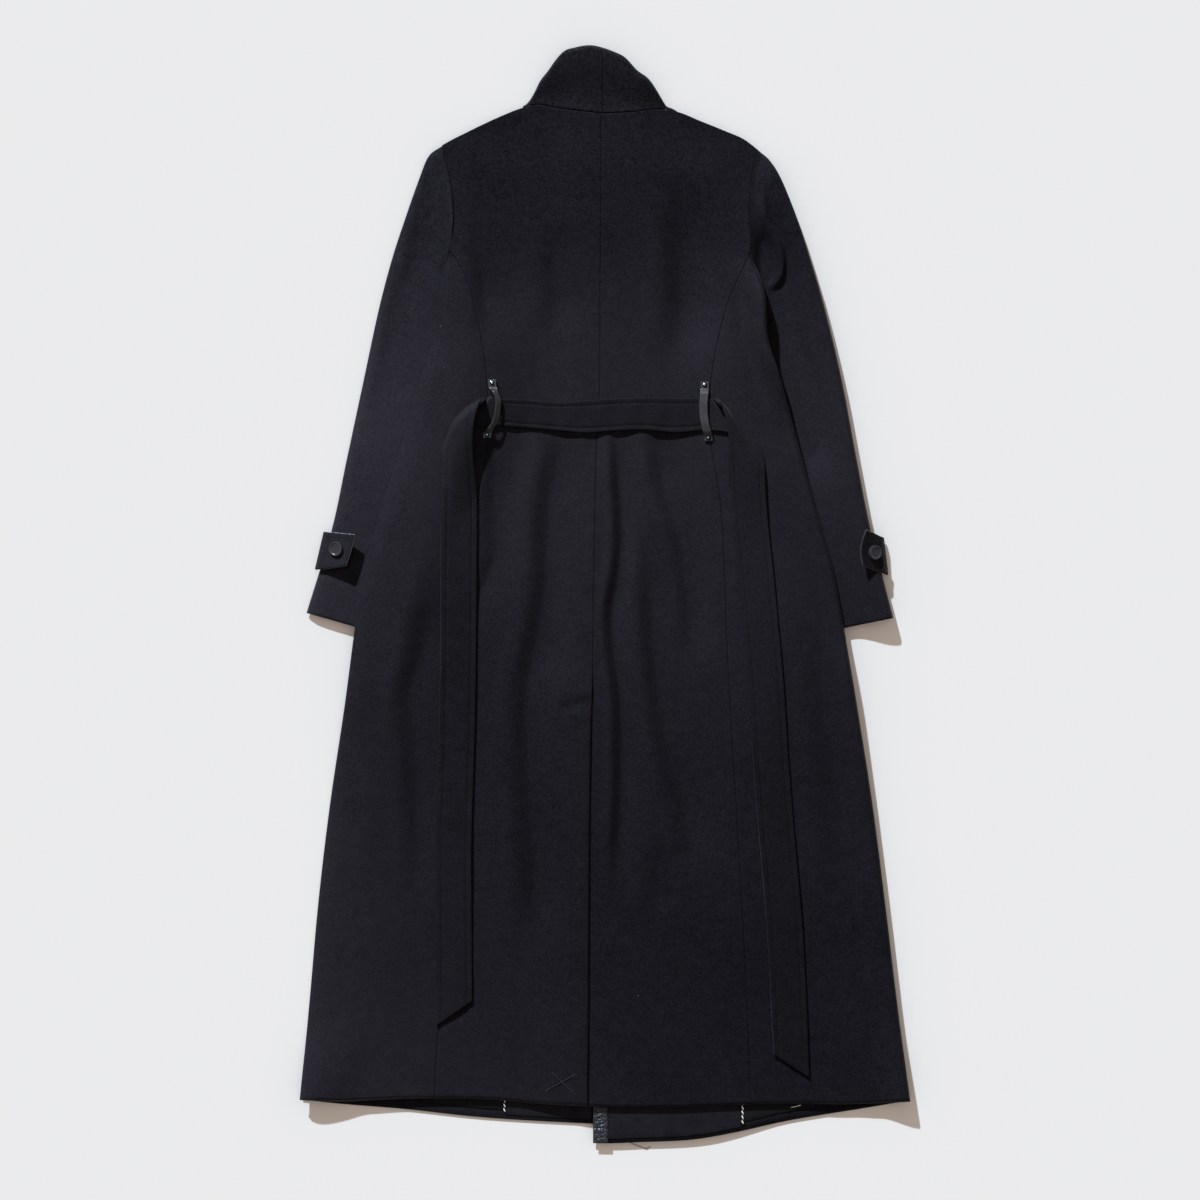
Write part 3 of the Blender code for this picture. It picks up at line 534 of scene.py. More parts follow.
def brushed_wool(name, dark, light, gloss):
    """Felted black wool: cloudy colour, painted sheen by level and toward the lower left, random shine,
    stray lint.
    """
    fuzz = {"Sheen_Weight": FUZZ, "Sheen_Roughness": FUZZ_ROUGHNESS}
    look = surface(name, dark, WOOL_ROUGHNESS, Specular_Tint=colour(SHINE_TINT), **fuzz)
    place = add(look, "ShaderNodeTexCoord", {}).outputs["Object"]

    # Painted sheen: the specular level is painted brighter and darker by the level on the coat, and brighter
    # toward the lower left, for how the light falls
    low, high = PAINTED_SHEEN[0][0], PAINTED_SHEEN[-1][0]
    level = add(look, "ShaderNodeSeparateXYZ", {"Vector": place}).outputs["Y"]
    sheen = add(look, "ShaderNodeValToRGB", {"Fac": spread(look, level, low, high, 0.0, 1.0)})
    stops = sheen.color_ramp.elements
    for where, share in PAINTED_SHEEN[1:-1]:
        stops.new((where - low) / (high - low))
    for stop, (where, share) in zip(stops, PAINTED_SHEEN):
        stop.color = (share, share, share, 1.0)
    toward = add(look, "ShaderNodeVectorMath", {0: place, 1: PAINTED_CORNER_WAY}, operation="DOT_PRODUCT")
    corner = spread(look, toward.outputs["Value"], PAINTED_CORNER_SHEEN[0], PAINTED_CORNER_SHEEN[1], 0.0, PAINTED_CORNER_SHEEN[2])
    shine = combine(look, "ADD", sheen.outputs["Color"], corner)
    # Patches and flecks of shine that vary at random, on top of the painted sheen
    for pattern, share in ((PATCH, PATCH_SHARE), (FLECK, FLECK_SHARE)):
        uneven = spread(look, noise(look, place, *pattern), 0.0, 1.0, -share / 2, share / 2)
        shine = combine(look, "ADD", shine, uneven)
    feed(look, spread(look, shine, 0.0, 1.0, 0.0, gloss), "Specular IOR Level")

    tone = add(look, "ShaderNodeValToRGB", {"Fac": noise(look, place, *CLOUD)})
    for stop, where, code in zip(tone.color_ramp.elements, CLOUD_STOPS, (dark, light)):
        stop.position = where
        stop.color = colour(code)
    cells = add(look, "ShaderNodeTexVoronoi", {"Vector": place, "Scale": SPECKS_PER_METRE})
    speck = spread(look, cells.outputs["Distance"], SPECK_SIZE[1], SPECK_SIZE[0], 0.0, SPECK_SHARE)
    speck = combine(look, "MULTIPLY", speck, cells.outputs["Color"])
    linted = {"Fac": speck, "Color1": tone.outputs["Color"], "Color2": colour(LINT)}
    feed(look, add(look, "ShaderNodeMixRGB", linted).outputs["Color"], "Base Color")
    bumped(look, noise(look, place, *NAP), NAP_STRENGTH, NAP_DEPTH)
    return look


# Back, fronts, right sleeve and left cuff tab
wool = brushed_wool("black wool, brushed", "090a0f", "101117", 0.62)
# Left upper sleeve, painted brighter with more shine, for the light that falls on it
sleeve_wool_painted_bright = brushed_wool("black wool of the left sleeve, painted brighter", "0a0b10", "13141b", 0.86)
# Belt between the loops and right cuff tab, painted darker with less shine, for the shade on them
belt_wool_painted_dark = brushed_wool("black wool of the belt, brushed", "08090c", "0d0e13", 0.41)
# Hanging ends of the belt, painted brighter with more shine than the belt between the loops, for the light
# on them
tail_wool_painted_bright = brushed_wool("black wool of the belt's tails, painted brighter", "090a0e", "0f1015", 0.54)
# Back of the collar, painted brighter with more shine, for the light on it
collar_wool_painted_bright = brushed_wool("black wool of the collar, brushed", "090a0c", "0e0e11", 1.0)
# Inside of the fronts at the hem, painted lighter and greyer where the back's hem shades it
facing_wool_painted_light = brushed_wool("black wool of the facings, painted lighter", "141419", "1d1d23", 0.34)
print("wools made:", len(bpy.data.materials))

# %% Other finishes
LEATHER_GLOSS = 0.9
GRAIN_STRENGTH = 0.5


def grained_leather(name, code, roughness, kind, scale, deep):
    """Shiny black leather with its grain: the kind of texture, its scale and how deep it is."""
    look = surface(name, code, roughness, Specular_IOR_Level=LEATHER_GLOSS)
    place = add(look, "ShaderNodeTexCoord", {}).outputs["Object"]
    grain = add(look, kind, {"Vector": place, "Scale": scale})
    bumped(look, grain.outputs[0], GRAIN_STRENGTH, deep)
    return look


# Loops and the edges of the tabs: fine cells of about 1 mm. The grey base colour is painted lighter than
# black leather, standing in for part of its shine, and warm against the cool softbox
leather = grained_leather("black leather, polished", "3a3738", 0.27, "ShaderNodeTexVoronoi", 900.0, 0.0003)
# Binding of the front: soft creases of about 4 mm. Its grey base colour is painted lighter than black
# leather, standing in for part of its bright highlights
CREASED_LEATHER = "black leather, creased and polished"
creased = grained_leather(CREASED_LEATHER, "34343a", 0.24, "ShaderNodeTexNoise", 260.0, 0.009)
# Lining, rivets and buttons
satin = surface("black lining satin", "151517", 0.42)
nickel = surface("nickel rivet, polished", "c4c4c8", 0.22, Metallic=1.0)
horn = surface("dark horn button, satin", "343337", 0.32, Specular_IOR_Level=0.75)
# Topstitching, tacking and the two strands of the piping, all dull
black_thread = surface("black sewing thread", "0c0c0e", 0.85, Specular_IOR_Level=0.12)
grey_thread = surface("grey tacking thread", "2d2c31", 0.7)
pale_cord = surface("pale cord strand", "e9e2dd", 0.75)
dark_cord = surface("dark cord strand", "262224", 0.75)
print("materials:", len(bpy.data.materials))

# %% [markdown]
# ## Laying a panel of cloth
# Every panel starts as Blender's grid, which is moved onto its place row by row and column by column. The
# rows crowd toward the edges, where cloth turns under, and each edge is rounded over by its own radius: a
# pressed seam dips a little, a folded edge turns right under. Solidify then gives the cloth its thickness
# downward.

# %% Helpers for cloth
# Edge | radius over which it turns | how far down it turns
EDGES = {
    "plain": (1.0, 0.0),
    "seam": (1.8, 0.55),
    "hem": (3.0, 2.4),
    "roll": (4.0, 4.2),
    "fold": (6.0, 8.0),
    "low": (14.0, 4.4),
    "soft": (24.0, 7.4),
}
PLAIN_EDGES = ("plain",) * 4
CROWDING = 0.75
SHELL = 1.8
SOFT_EDGE_STEPS = 3
SOFT_EDGE_ANGLE = math.radians(50)
SMOOTH_ANGLE = math.radians(48)


def crowded(count):
    """Fractions from 0 to 1 that crowd toward both ends."""
    even = np.linspace(0, 1, count + 1)
    return mix(even, (1 - np.cos(math.pi * even)) / 2, CROWDING)


def turned_under(steps, kind, y, axis, back):
    """How far an edge is turned down, from the distances between the grid's points."""
    radius, depth = kind(y) if callable(kind) else EDGES[kind]
    away = np.concatenate([np.zeros_like(np.take(steps, [0], axis)), np.cumsum(steps, axis)], axis)
    if back:
        away = np.take(away, [-1], axis) - away
    near = 1 - np.clip(away / radius, 0, 1)
    return depth * (1 - np.sqrt(np.clip(1 - near**2, 0, 1)))


def panel_points(columns, rows, place, edges):
    """Points of a panel, rows by columns, with its four edges turned under."""
    u, v = np.meshgrid(crowded(columns), crowded(rows))
    x, y, z = place(u, v)
    across = np.hypot(np.diff(x, axis=1), np.diff(y, axis=1))
    along = np.hypot(np.diff(x, axis=0), np.diff(y, axis=0))
    first, last, foot, head = edges
    down = np.maximum(turned_under(across, first, y, 1, False), turned_under(across, last, y, 1, True))
    down = np.maximum(down, turned_under(along, foot, y, 0, False))
    down = np.maximum(down, turned_under(along, head, y, 0, True))
    return np.stack([x, y, np.maximum(z - down, SHELL)], axis=-1)


def bent_grid(name, points):
    """Blender's grid, moved onto these points, in metres, with its upper side outward."""
    rows, columns = points.shape[0] - 1, points.shape[1] - 1
    bpy.ops.object.select_all(action="DESELECT")
    bpy.ops.mesh.primitive_grid_add(x_subdivisions=columns, y_subdivisions=rows, size=2)
    piece = bpy.context.object
    piece.name = name
    flat = np.empty(len(piece.data.vertices) * 3)
    piece.data.vertices.foreach_get("co", flat)
    flat = flat.reshape(-1, 3)
    column = np.rint((flat[:, 0] + 1) / 2 * columns).astype(int)
    row = np.rint((flat[:, 1] + 1) / 2 * rows).astype(int)
    piece.data.vertices.foreach_set("co", (points[row, column] * MM).ravel())
    across = points[0, -1] - points[0, 0]
    along = points[-1, 0] - points[0, 0]
    if across[0] * along[1] - across[1] * along[0] < 0:
        piece.data.flip_normals()
    piece.data.update()
    return piece


def apply_all(piece):
    """Apply the modifiers of a piece in their order."""
    bpy.context.view_layer.objects.active = piece
    for modifier in list(piece.modifiers):
        bpy.ops.object.modifier_apply(modifier=modifier.name)


def thicken(piece, wall, offset, rounding=0.0):
    """Give a sheet its thickness, and round its edges where asked."""
    thick = piece.modifiers.new("thickness", "SOLIDIFY")
    thick.thickness = wall * MM
    thick.offset = offset
    if rounding:
        soft = piece.modifiers.new("soft edge", "BEVEL")
        soft.width = rounding * MM
        soft.segments = SOFT_EDGE_STEPS
        soft.angle_limit = SOFT_EDGE_ANGLE
    apply_all(piece)
    bpy.ops.object.shade_smooth_by_angle(angle=SMOOTH_ANGLE)


def dress(piece, node, look, slot):
    """Give a piece its finish, hang it on the root, and hide the solid that it stands for."""
    piece.data.materials.clear()
    piece.data.materials.append(look)
    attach(piece, "root")
    if node:
        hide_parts(node)
    return piece


def cloth(node, points, rests_on, look, slot="wool", wall=SHELL, offset=-1.0, rounding=0.0, held="laid"):
    """Sheet of cloth through these points, over the solid of that name."""
    piece = bent_grid(node + "_cloth", points)
    thicken(piece, wall, offset, rounding)
    dress(piece, node, look, slot)
    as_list(rests_on)


def lay(node, size, place, edges, rests_on, look=wool, slot="wool", wall=SHELL):
    """One panel of cloth, from its count of columns and rows, its places and its four edges."""
    cloth(node, panel_points(*size, place, edges), rests_on, look, slot, wall)


# %% [markdown]
# ## Fronts and sleeves
# Only the lower edge of the fronts shows, below the back's hem, so their shells are plain and drawn in a
# little at the sides. Each sleeve is two panels: a flat one on the table, and an upper one that arches over
# it and turns under along its outer edge. The upper one has the creases, which fade where the sleeve is
# flat at its edges.

# %% Fronts
TUCKED = 2.2
FRONT_SIZE = (36, 90)
FRONT_LIFT = 1.0
FRONT_LIFT_HEIGHT = 70.0


def front_lift(x, y):
    """Rise of the right front's lower edge off the table."""
    return FRONT_LIFT * ramp(y - right_hem(x), FRONT_LIFT_HEIGHT, 0.0)


def front_left(u, v):
    """Place on the left front, across from its outer to its hidden edge."""
    foot = left_hem(mix(left_edge(HEM_LEVEL), left_front_edge(HEM_LEVEL), u))
    y = mix(foot, top_line(mix(SHOULDER_LEFT, left_front_edge(NECK_LEVEL), u)) - TUCKED, v)
    x = mix(left_edge(y) + TUCKED, left_front_edge(y), u)
    return x, y, cover(x, y, left_inner, -1, SLEEVE_TUCK_LEFT) + WALL


def front_right(u, v):
    """Place on the right front, across from the edge that lies on the left one to its outer edge."""
    foot = right_hem(mix(right_front_edge(HEM_LEVEL), right_edge(HEM_LEVEL), u))
    y = mix(foot, top_line(mix(right_front_edge(NECK_LEVEL), SHOULDER_RIGHT, u)) - TUCKED, v)
    x = mix(right_front_edge(y), right_edge(y) - TUCKED, u)
    covered = cover(x, y, right_inner, 1, SLEEVE_TUCK_RIGHT)
    return x, y, covered + wrap_lift(x, y) + front_lift(x, y) + WALL


lay("front_left", FRONT_SIZE, front_left, ("plain", "plain", "hem", "plain"), ["sleeve_under_left"])
lay("front_right", FRONT_SIZE, front_right, ("hem", "plain", "hem", "plain"), ["front_left_cloth"])

# %% Sleeves
UPPER_SLEEVE_SIZE = (56, 240)
# Side | lift of the outer edge along the sleeve | lift at the cuff | tuck toward the body | rise over the
# body's edge | outer edge | armhole edge
SLEEVE_SET = {
    "left": (0.0, 1.0, 1.4, 3.0, "low", "roll"),
    "right": (11.0, 12.5, 1.6, -0.5, "fold", "seam"),
}
SLEEVE_LIFT_SHARE = 0.5
CUFF_STATIONS = (6.5, 9.0)
UNDER_SLEEVE_SIZE = (16, 60)
UNDER_INSET = 0.03
LOWEST_SLEEVE = -2.2
ARMHOLE_BLEND = 1.6
HEAD_FADE = 0.9
HEAD_SHARE = 0.15
ARMHOLE_FOOT = (-20.0, 60.0)


def sleeve(table, edge, side, upper, setting):
    """Place on a sleeve, across from its outer to its inner edge and along from armhole to cuff."""
    stations = [smooth(table, k) for k in range(1, 5)]
    last = table[-1][0]
    arm_high = table[0][2]
    arm_low = table[0][4]
    lift_along, lift_cuff, tucked, raised = setting[:4]

    def place(u, v):
        along = v * last
        if not upper:
            u = mix(UNDER_INSET, 1 - UNDER_INSET, u)
        outer_x, outer_y, inner_x, inner_y = [read(along) for read in stations]
        x = mix(outer_x, inner_x, u)
        y = mix(outer_y, inner_y, u)
        seam_y = mix(arm_high, arm_low, u)
        tuck = side * (tucked if upper else -SEWN_GAP)
        bow = edge(seam_y) - tuck - mix(table[0][1], table[0][3], u)
        x = x + bow * ramp(along, mix(HEAD_FADE, ARMHOLE_FADE, ramp(u, 0.0, HEAD_SHARE)), 0.0)
        if not upper:
            return x, y, np.full(np.shape(x), SHELL)
        arch = np.clip(np.sin(math.pi * u), 0, 1) ** SLEEVE_ROUND
        arch = arch * mix(ARMHOLE_ARCH, 1.0, ramp(along, 0.0, ARMHOLE_GROW))
        soft = SLEEVE_ARCH + ripple(x, y) - creases(x, y, SLEEVE_CREASES, SLEEVE_SWELL) + rolled(x, y)
        lift = mix(lift_along, lift_cuff, ramp(along, *CUFF_STATIONS))
        lift = lift * ramp(u, SLEEVE_LIFT_SHARE, 0.0) * ramp(along, 0.0, ARMHOLE_GROW)
        z = 2 * WALL + GAP + lift + arch * np.maximum(soft, LOWEST_SLEEVE)
        seam_z = back_top(edge(y) - side, y, creased=False) + raised
        joined = ramp(y, arm_low + ARMHOLE_FOOT[0], arm_low + ARMHOLE_FOOT[1])
        joined = ramp(along, ARMHOLE_BLEND, 0.0) * joined
        return x, y, mix(z, np.maximum(z, seam_z), joined)

    return place


for side, table, edge, out in (("left", SLEEVE_LEFT, left_edge, -1), ("right", SLEEVE_RIGHT, right_edge, 1)):
    under = "sleeve_under_" + side
    setting = SLEEVE_SET[side]
    lay(under, UNDER_SLEEVE_SIZE, sleeve(table, edge, out, False, setting), PLAIN_EDGES, [under])
    sleeve_edges = (setting[4], "fold", setting[5], "hem")
    upper = sleeve(table, edge, out, True, setting)
    # The left upper sleeve takes the copy of the wool that is painted brighter
    nap = sleeve_wool_painted_bright if side == "left" else wool
    lay("sleeve_upper_" + side, UPPER_SLEEVE_SIZE, upper, sleeve_edges, [under + "_cloth"], nap)

# %% [markdown]
# ## The back
# The back is four panels: two in the middle with a centre seam that opens into a vent, and two at the
# sides, joined by curved princess seams that start at the armholes. All four are laid by the same height,
# so that the creases run on over the seams. At the vent the left panel lies over a strip of the right one.

# %% Back panels
CENTER_SIZE = (72, 420)
SIDE_SIZE = (44, 360)
LAP_SLANT = 90.0
VENT_FREE = (4.0, -12.0)


def vent_edge(y):
    """Radius and depth of the centre edge: a seam above the vent, a free edge below its top."""
    free = ramp(y, VENT_TOP + VENT_FREE[0], VENT_TOP + VENT_FREE[1])
    radius = mix(EDGES["seam"][0], EDGES["hem"][0], free)
    return radius, mix(EDGES["seam"][1], EDGES["hem"][1], free)


def back_center_left(u, v):
    """Place on the left centre panel, across from the centre seam to its princess seam."""
    foot = back_hem(mix(centre(HEM_LEVEL), left_seam(HEM_LEVEL), u))
    y = mix(foot, top_line(mix(NECK_MIDDLE, SHOULDER_LEFT, u)), v)
    x = mix(centre(y) - GAP / 2, left_seam(y) + GAP / 2, u)
    return x, y, back_top(x, y) + vent_lift(x, y) - stitched_down(x, y)


def back_center_right(u, v):
    """Place on the right centre panel, which laps under the left one below the top of the vent."""
    foot = back_hem(mix(centre(HEM_LEVEL), right_seam(HEM_LEVEL), u))
    y = mix(foot, top_line(mix(NECK_MIDDLE, SHOULDER_RIGHT, u)), v)
    lap = VENT_LAP * ramp(y, VENT_TOP, VENT_TOP - LAP_SLANT)
    x = mix(centre(y) + GAP / 2 - lap, right_seam(y) - GAP / 2, u)
    return x, y, back_top(x, y)


def back_side(seam, edge, out):
    """Place on a side panel, across from its princess seam to the coat's edge."""

    def place(u, v):
        y = mix(back_hem(mix(seam(HEM_LEVEL), edge(HEM_LEVEL), u)), SEAM_START, v)
        x = mix(seam(y) + out * GAP / 2, edge(y), u)
        return x, y, back_top(x, y)

    return place


# Panel | size | place | edge at the seam | edge outside | what it lies on
BACK_PANELS = (
    ("center_right", CENTER_SIZE, back_center_right, "seam", "seam", "front_right"),
    ("center_left", CENTER_SIZE, back_center_left, vent_edge, "seam", "back_center_right"),
    ("side_left", SIDE_SIZE, back_side(left_seam, left_edge, -1), "seam", "soft", "front_left"),
    ("side_right", SIDE_SIZE, back_side(right_seam, right_edge, 1), "seam", "fold", "front_right"),
)
for name, size, place, inner, outer, below in BACK_PANELS:
    lay("back_" + name, size, place, (inner, outer, "fold", "seam"), [below + "_cloth"])

# %% [markdown]
# ## The collar
# The collar stands round the neck when the coat is worn. Laid flat it is two layers, and its back stands up
# a little toward its upper edge, where it is folded, so that edge is rounded over further than a seam.

# %% Collar
COLLAR_SIZE = (48, 48)
COLLAR_FRONT_SIZE = (20, 12)
COLLAR_RISE = 7.0
COLLAR_INSET = 2.5
COLLAR_RISE_ROWS = (0.1, 0.9)
COLLAR_RISE_SHARE = (1.0, 0.5)
# Half of the front | first x | last x | 1 where it lies on the other half | what it rests on
COLLAR_FRONTS = {
    "left": (-91.5, 40.0, 0, "collar_front_right"),
    "right": (-12.0, 75.0, 1, "collar_front_left_cloth"),
}


def collar_back(side_x):
    """Place on one half of the collar's back."""

    def place(u, v):
        x = mix(COLLAR_MIDDLE + math.copysign(GAP / 2, side_x), side_x, u)
        y = mix(top_line(x) + SEWN_GAP, collar_line(x), v)
        rise = COLLAR_RISE * ramp(v, *COLLAR_RISE_ROWS) * ramp(u, *COLLAR_RISE_SHARE)
        return x, y, back_top(x, y) + rise

    return place


def collar_front(first_x, last_x, lapped):
    """Place on one half of the collar's front, which lies under its back."""

    def place(u, v):
        x = mix(first_x, last_x, u)
        y = mix(top_line(x) + SEWN_GAP, collar_line(x) - COLLAR_INSET, v)
        return x, y, lapped * wrap_lift(x, y) + WALL

    return place


for side, (first_x, last_x, lapped, below) in COLLAR_FRONTS.items():
    place = collar_front(first_x, last_x, lapped)
    lay("collar_front_" + side, COLLAR_FRONT_SIZE, place, PLAIN_EDGES, [below])
collar_edges = ("seam", "fold", "seam", "fold")
for side, side_x in (("left", COLLAR_LEFT), ("right", COLLAR_RIGHT)):
    place = collar_back(side_x)
    lay("collar_back_" + side, COLLAR_SIZE, place, collar_edges, ["collar_front_left_cloth"], collar_wool_painted_bright)

# %% [markdown]
# ## What shows at the hem
# Below the back's hem the inside of the fronts shows: a wool facing on each, a shiny leather binding on the
# edge of the right front, and beyond a twisted cord piping the first of the lining. They are thin pieces
# laid on the fronts.

# %% Facings, linings and binding
FACING_TOP = -602.0
FACING_WALL = 1.2
HEM_PIECE_SIZE = (40, 12)
# First x | last x | how far above the front's lower edge it stops | front that it lies on
HEM_PIECES = {
    "facing_left": (-124.0, -17.0, 6.0, "left"),
    "facing_right": (4.0, 170.5, 6.0, "right"),
    "lining_left": (-215.0, -127.5, 12.0, "left"),
    "lining_right": (174.0, 262.0, 12.0, "right"),
}


def hem_piece(first_x, last_x, stop, side):
    """Place on a piece that lies on the inside of a front, at its hem."""
    hem = left_hem if side == "left" else right_hem

    def place(u, v):
        x = mix(first_x, last_x, u)
        y = mix(hem(x) + stop, FACING_TOP, v)
        lift = wrap_lift(x, y) + front_lift(x, y) if side == "right" else 0.0
        return x, y, WALL + GAP + FACING_WALL + lift

    return place


for name, row in HEM_PIECES.items():
    finish = (satin, "lining") if "lining" in name else (facing_wool_painted_light, "wool")
    hem_edges = ("plain", "plain", "seam", "plain")
    below = ["front_" + row[3] + "_cloth"]
    lay(name, HEM_PIECE_SIZE, hem_piece(*row), hem_edges, below, *finish, FACING_WALL)

# The same for the binding
BINDING = (-14.6, 3.4, 0.6, "right")
BINDING_SIZE = (16, 16)
binding_points = panel_points(*BINDING_SIZE, hem_piece(*BINDING), ("seam", "seam", "seam", "plain"))
binding = bent_grid("front_edge_binding_leather", binding_points)
thicken(binding, FACING_WALL, -1.0)
dress(binding, "front_edge_binding", creased, "leather")

# %% [markdown]
# ## Belt
# The belt is a doubled band of the same wool, topstitched near both edges. Beside each loop it turns over
# itself at a slant and hangs down the skirt. Thick wool doesn't fold there along a straight line, it makes
# a soft bow, so the turn is drawn by its contour: a few places along the fold's outer line. The rows of the
# band run up to that line, under the fold, and then away from it, over the fold and down. Near the line the
# band sinks into the back, out of sight, and comes out of it slowly or quickly as the real one does.

# %% Belt shape
BELT_WALL = 4.4
BELT_HALF = 22.0
BELT_SINK = 0.6
BELT_STITCH = 0.70
STITCH_GROOVE = 0.5
GROOVE_HALF = 0.08
# Across | upper belt edge | lower belt edge, between the loops
WAIST = (
    (-136.3, 245.0, 212.0),
    (-96.0, 243.8, 208.8),
    (-53.8, 241.0, 205.0),
    (-27.5, 242.5, 202.5),
    (11.3, 245.0, 205.0),
    (48.8, 246.3, 206.3),
    (87.5, 246.0, 203.0),
    (123.8, 245.0, 206.0),
)
# Level | middle of the left tail | middle of the right tail
TAIL = (
    (190.0, -182.0, 176.5),
    (120.0, -182.0, 178.5),
    (20.0, -183.0, 188.5),
    (-110.0, -184.0, 200.5),
    (-215.0, -186.5, 207.5),
    (-300.0, -189.0, 214.5),
    (-410.0, -189.0, 224.0),
    (-600.0, -187.5, 233.5),
)
# How each tail leaves its loop. Start: across, lower and upper edge. Fold: share from the outer to the inner
# edge, across, level. Foot: level where it hangs straight, outer edge, inner edge. Then the lower end, its
# slant, the lift of the outer and of the inner edge, and the way over which each comes out of the fold.
TAIL_CUTS = {
    "left": (
        (-136.9, 211.5, 245.5),
        (
            (0.0, -201.7, 189.0),
            (0.2, -198.0, 203.0),
            (0.4, -190.0, 219.0),
            (0.6, -178.0, 231.0),
            (1.0, -145.0, 249.0),
        ),
        (184.0, -201.7, -165.2),
        (-522.0, 0.7, 0.0, 18.0, 16.0, 16.0),
    ),
    "right": (
        (124.4, 206.0, 245.0),
        (
            (0.0, 194.0, 190.0),
            (0.2, 185.4, 202.5),
            (0.4, 174.0, 211.0),
            (0.7, 157.5, 228.0),
            (1.0, 134.0, 247.5),
        ),
        (180.0, 197.5, 154.3),
        (-588.0, 0.64, 2.5, 10.0, 52.0, 12.0),
    ),
}
# Shares of the rows: up to the fold, and up to the foot
FOLD_ROWS = (0.08, 0.24)
FOLD_BOW = 0.17
# How deep the band sinks at the fold, over which share of its run under the fold, and how far inward the
# outer edge's slow way out of the fold holds
FOLD_SINK = 4.8
FOLD_DIVE = (0.4, 0.9)
INNER_POWER = 4
TAIL_SETTLE = (15.0, 140.0)
TAIL_EASE = 75.0
TAIL_END = 60.0


def belt_base(x, y):
    """Middle of the belt's thickness where it lies on the back."""
    return back_top(x, y, creased=False) + BELT_WALL / 2 - BELT_SINK


def groove(lean):
    """Dip of the topstitching, near both edges of the belt."""
    return STITCH_GROOVE * np.exp(-(((np.abs(lean) - BELT_STITCH) / GROOVE_HALF) ** 2))


def waist(u, v):
    """Place on the belt between the loops."""
    x = mix(WAIST[0][0], WAIST[-1][0], u)
    y = mix(smooth(WAIST, 2)(x), smooth(WAIST, 1)(x), v)
    return x, y, belt_base(x, y) + ripple(3 * x, 2 * y) - groove(2 * v - 1)


def tail(middle_x, side, start, fold, foot, hang):
    """Belt tail: under its own soft slanted fold, out over it, then down on the skirt."""
    start_x, start_low, start_high = start
    fold_x = smooth(fold, 1)
    fold_y = smooth(fold, 2)
    foot_y, foot_out, foot_in = foot
    end_y, slant, lift_out, lift_in, emerge_out, emerge_in = hang

    def place(u, v):
        lean = 2 * u - 1
        edge_x = fold_x(u)
        edge_y = fold_y(u)
        foot_x = mix(foot_out, foot_in, u)

        under = np.clip(v / FOLD_ROWS[0], 0, 1)
        over = np.clip((v - FOLD_ROWS[0]) / (FOLD_ROWS[1] - FOLD_ROWS[0]), 0, 1)
        down = np.clip((v - FOLD_ROWS[1]) / (1 - FOLD_ROWS[1]), 0, 1)
        bow_y = mix(edge_y, foot_y, FOLD_BOW)
        x = mix(mix(edge_x, foot_x, over), foot_x, over)
        y = mix(mix(edge_y, bow_y, over), mix(bow_y, foot_y, over), over)
        x = np.where(under < 1, mix(start_x, edge_x, under), x)
        y = np.where(under < 1, mix(mix(start_low, start_high, u), edge_y, under**2), y)

        low_y = mix(foot_y, end_y, down)
        cut = slant * lean * BELT_HALF * ramp(low_y, end_y + TAIL_END, end_y)
        hung_x = middle_x(low_y) - side * lean * BELT_HALF
        low_x = mix(foot_x, hung_x, ramp(low_y, foot_y, foot_y - TAIL_EASE))
        x = np.where(down > 0, low_x, x)
        y = np.where(down > 0, low_y + cut, y)

        away = np.where(under < 1, 0.0, np.hypot(x - edge_x, y - edge_y))
        emerge = mix(emerge_out, emerge_in, u**INNER_POWER)
        sunk = FOLD_SINK * np.where(under < 1, ramp(under, *FOLD_DIVE), ramp(away, emerge, 0.0))
        lift = ramp(away, 0.0, emerge) * ramp(away, TAIL_SETTLE[1], TAIL_SETTLE[0])
        lift = mix(lift_out, lift_in, u) * lift
        dip = (ripple(2 * x, y) - groove(lean)) * ramp(away, emerge / 2, 2 * emerge)
        return x, y, belt_base(x, y) + lift + dip - sunk

    return place


# %% Belt pieces
WAIST_SIZE = (110, 36)
TAIL_SIZE = (36, 330)
BELT_ROUND = 1.3


def even_points(columns, rows, place):
    """Points of a band at even steps."""
    u, v = np.meshgrid(np.linspace(0, 1, columns + 1), np.linspace(0, 1, rows + 1))
    return np.stack(place(u, v), axis=-1)


doubled = {"wall": BELT_WALL, "offset": 0.0, "rounding": BELT_ROUND}
below = ["back_center_left_cloth", "back_center_right_cloth"]
cloth("belt_waist", even_points(*WAIST_SIZE, waist), below, belt_wool_painted_dark, **doubled)
tails = {}
for k, side in enumerate(("left", "right")):
    tails[side] = tail(smooth(TAIL, k + 1), (-1, 1)[k], *TAIL_CUTS[side])
    below = ["back_side_" + side + "_cloth"]
    points = even_points(*TAIL_SIZE, tails[side])
    cloth("belt_tail_" + side, points, below, tail_wool_painted_bright, **doubled, held="folded")

# %% [markdown]
# ## Belt loops and rivets
# A narrow strip of black leather holds the belt at each princess seam, fixed by a rivet at both ends. The
# strip is a bent grid with a rounded edge. A rivet is modelled once, from a cylinder whose top is inset and
# raised into a dome, and then copied to the four places.

# %% Leather loops
LOOP_HALF = 5.2
LOOP_WALL = 1.8
LOOP_SIZE = (10, 90)
LOOP_ROUND = 0.5
# How much each loop is turned onto its edge; then the rise of that edge, how much narrower it looks, and the
# rise above the back at which the turn starts and is full
LOOP_TURNED = {"left": 1.0, "right": 0.0}
TURNED_RISE = 2.2
TURNED_SLIM = 0.40
TURNED_FROM = (0.6, 4.4)
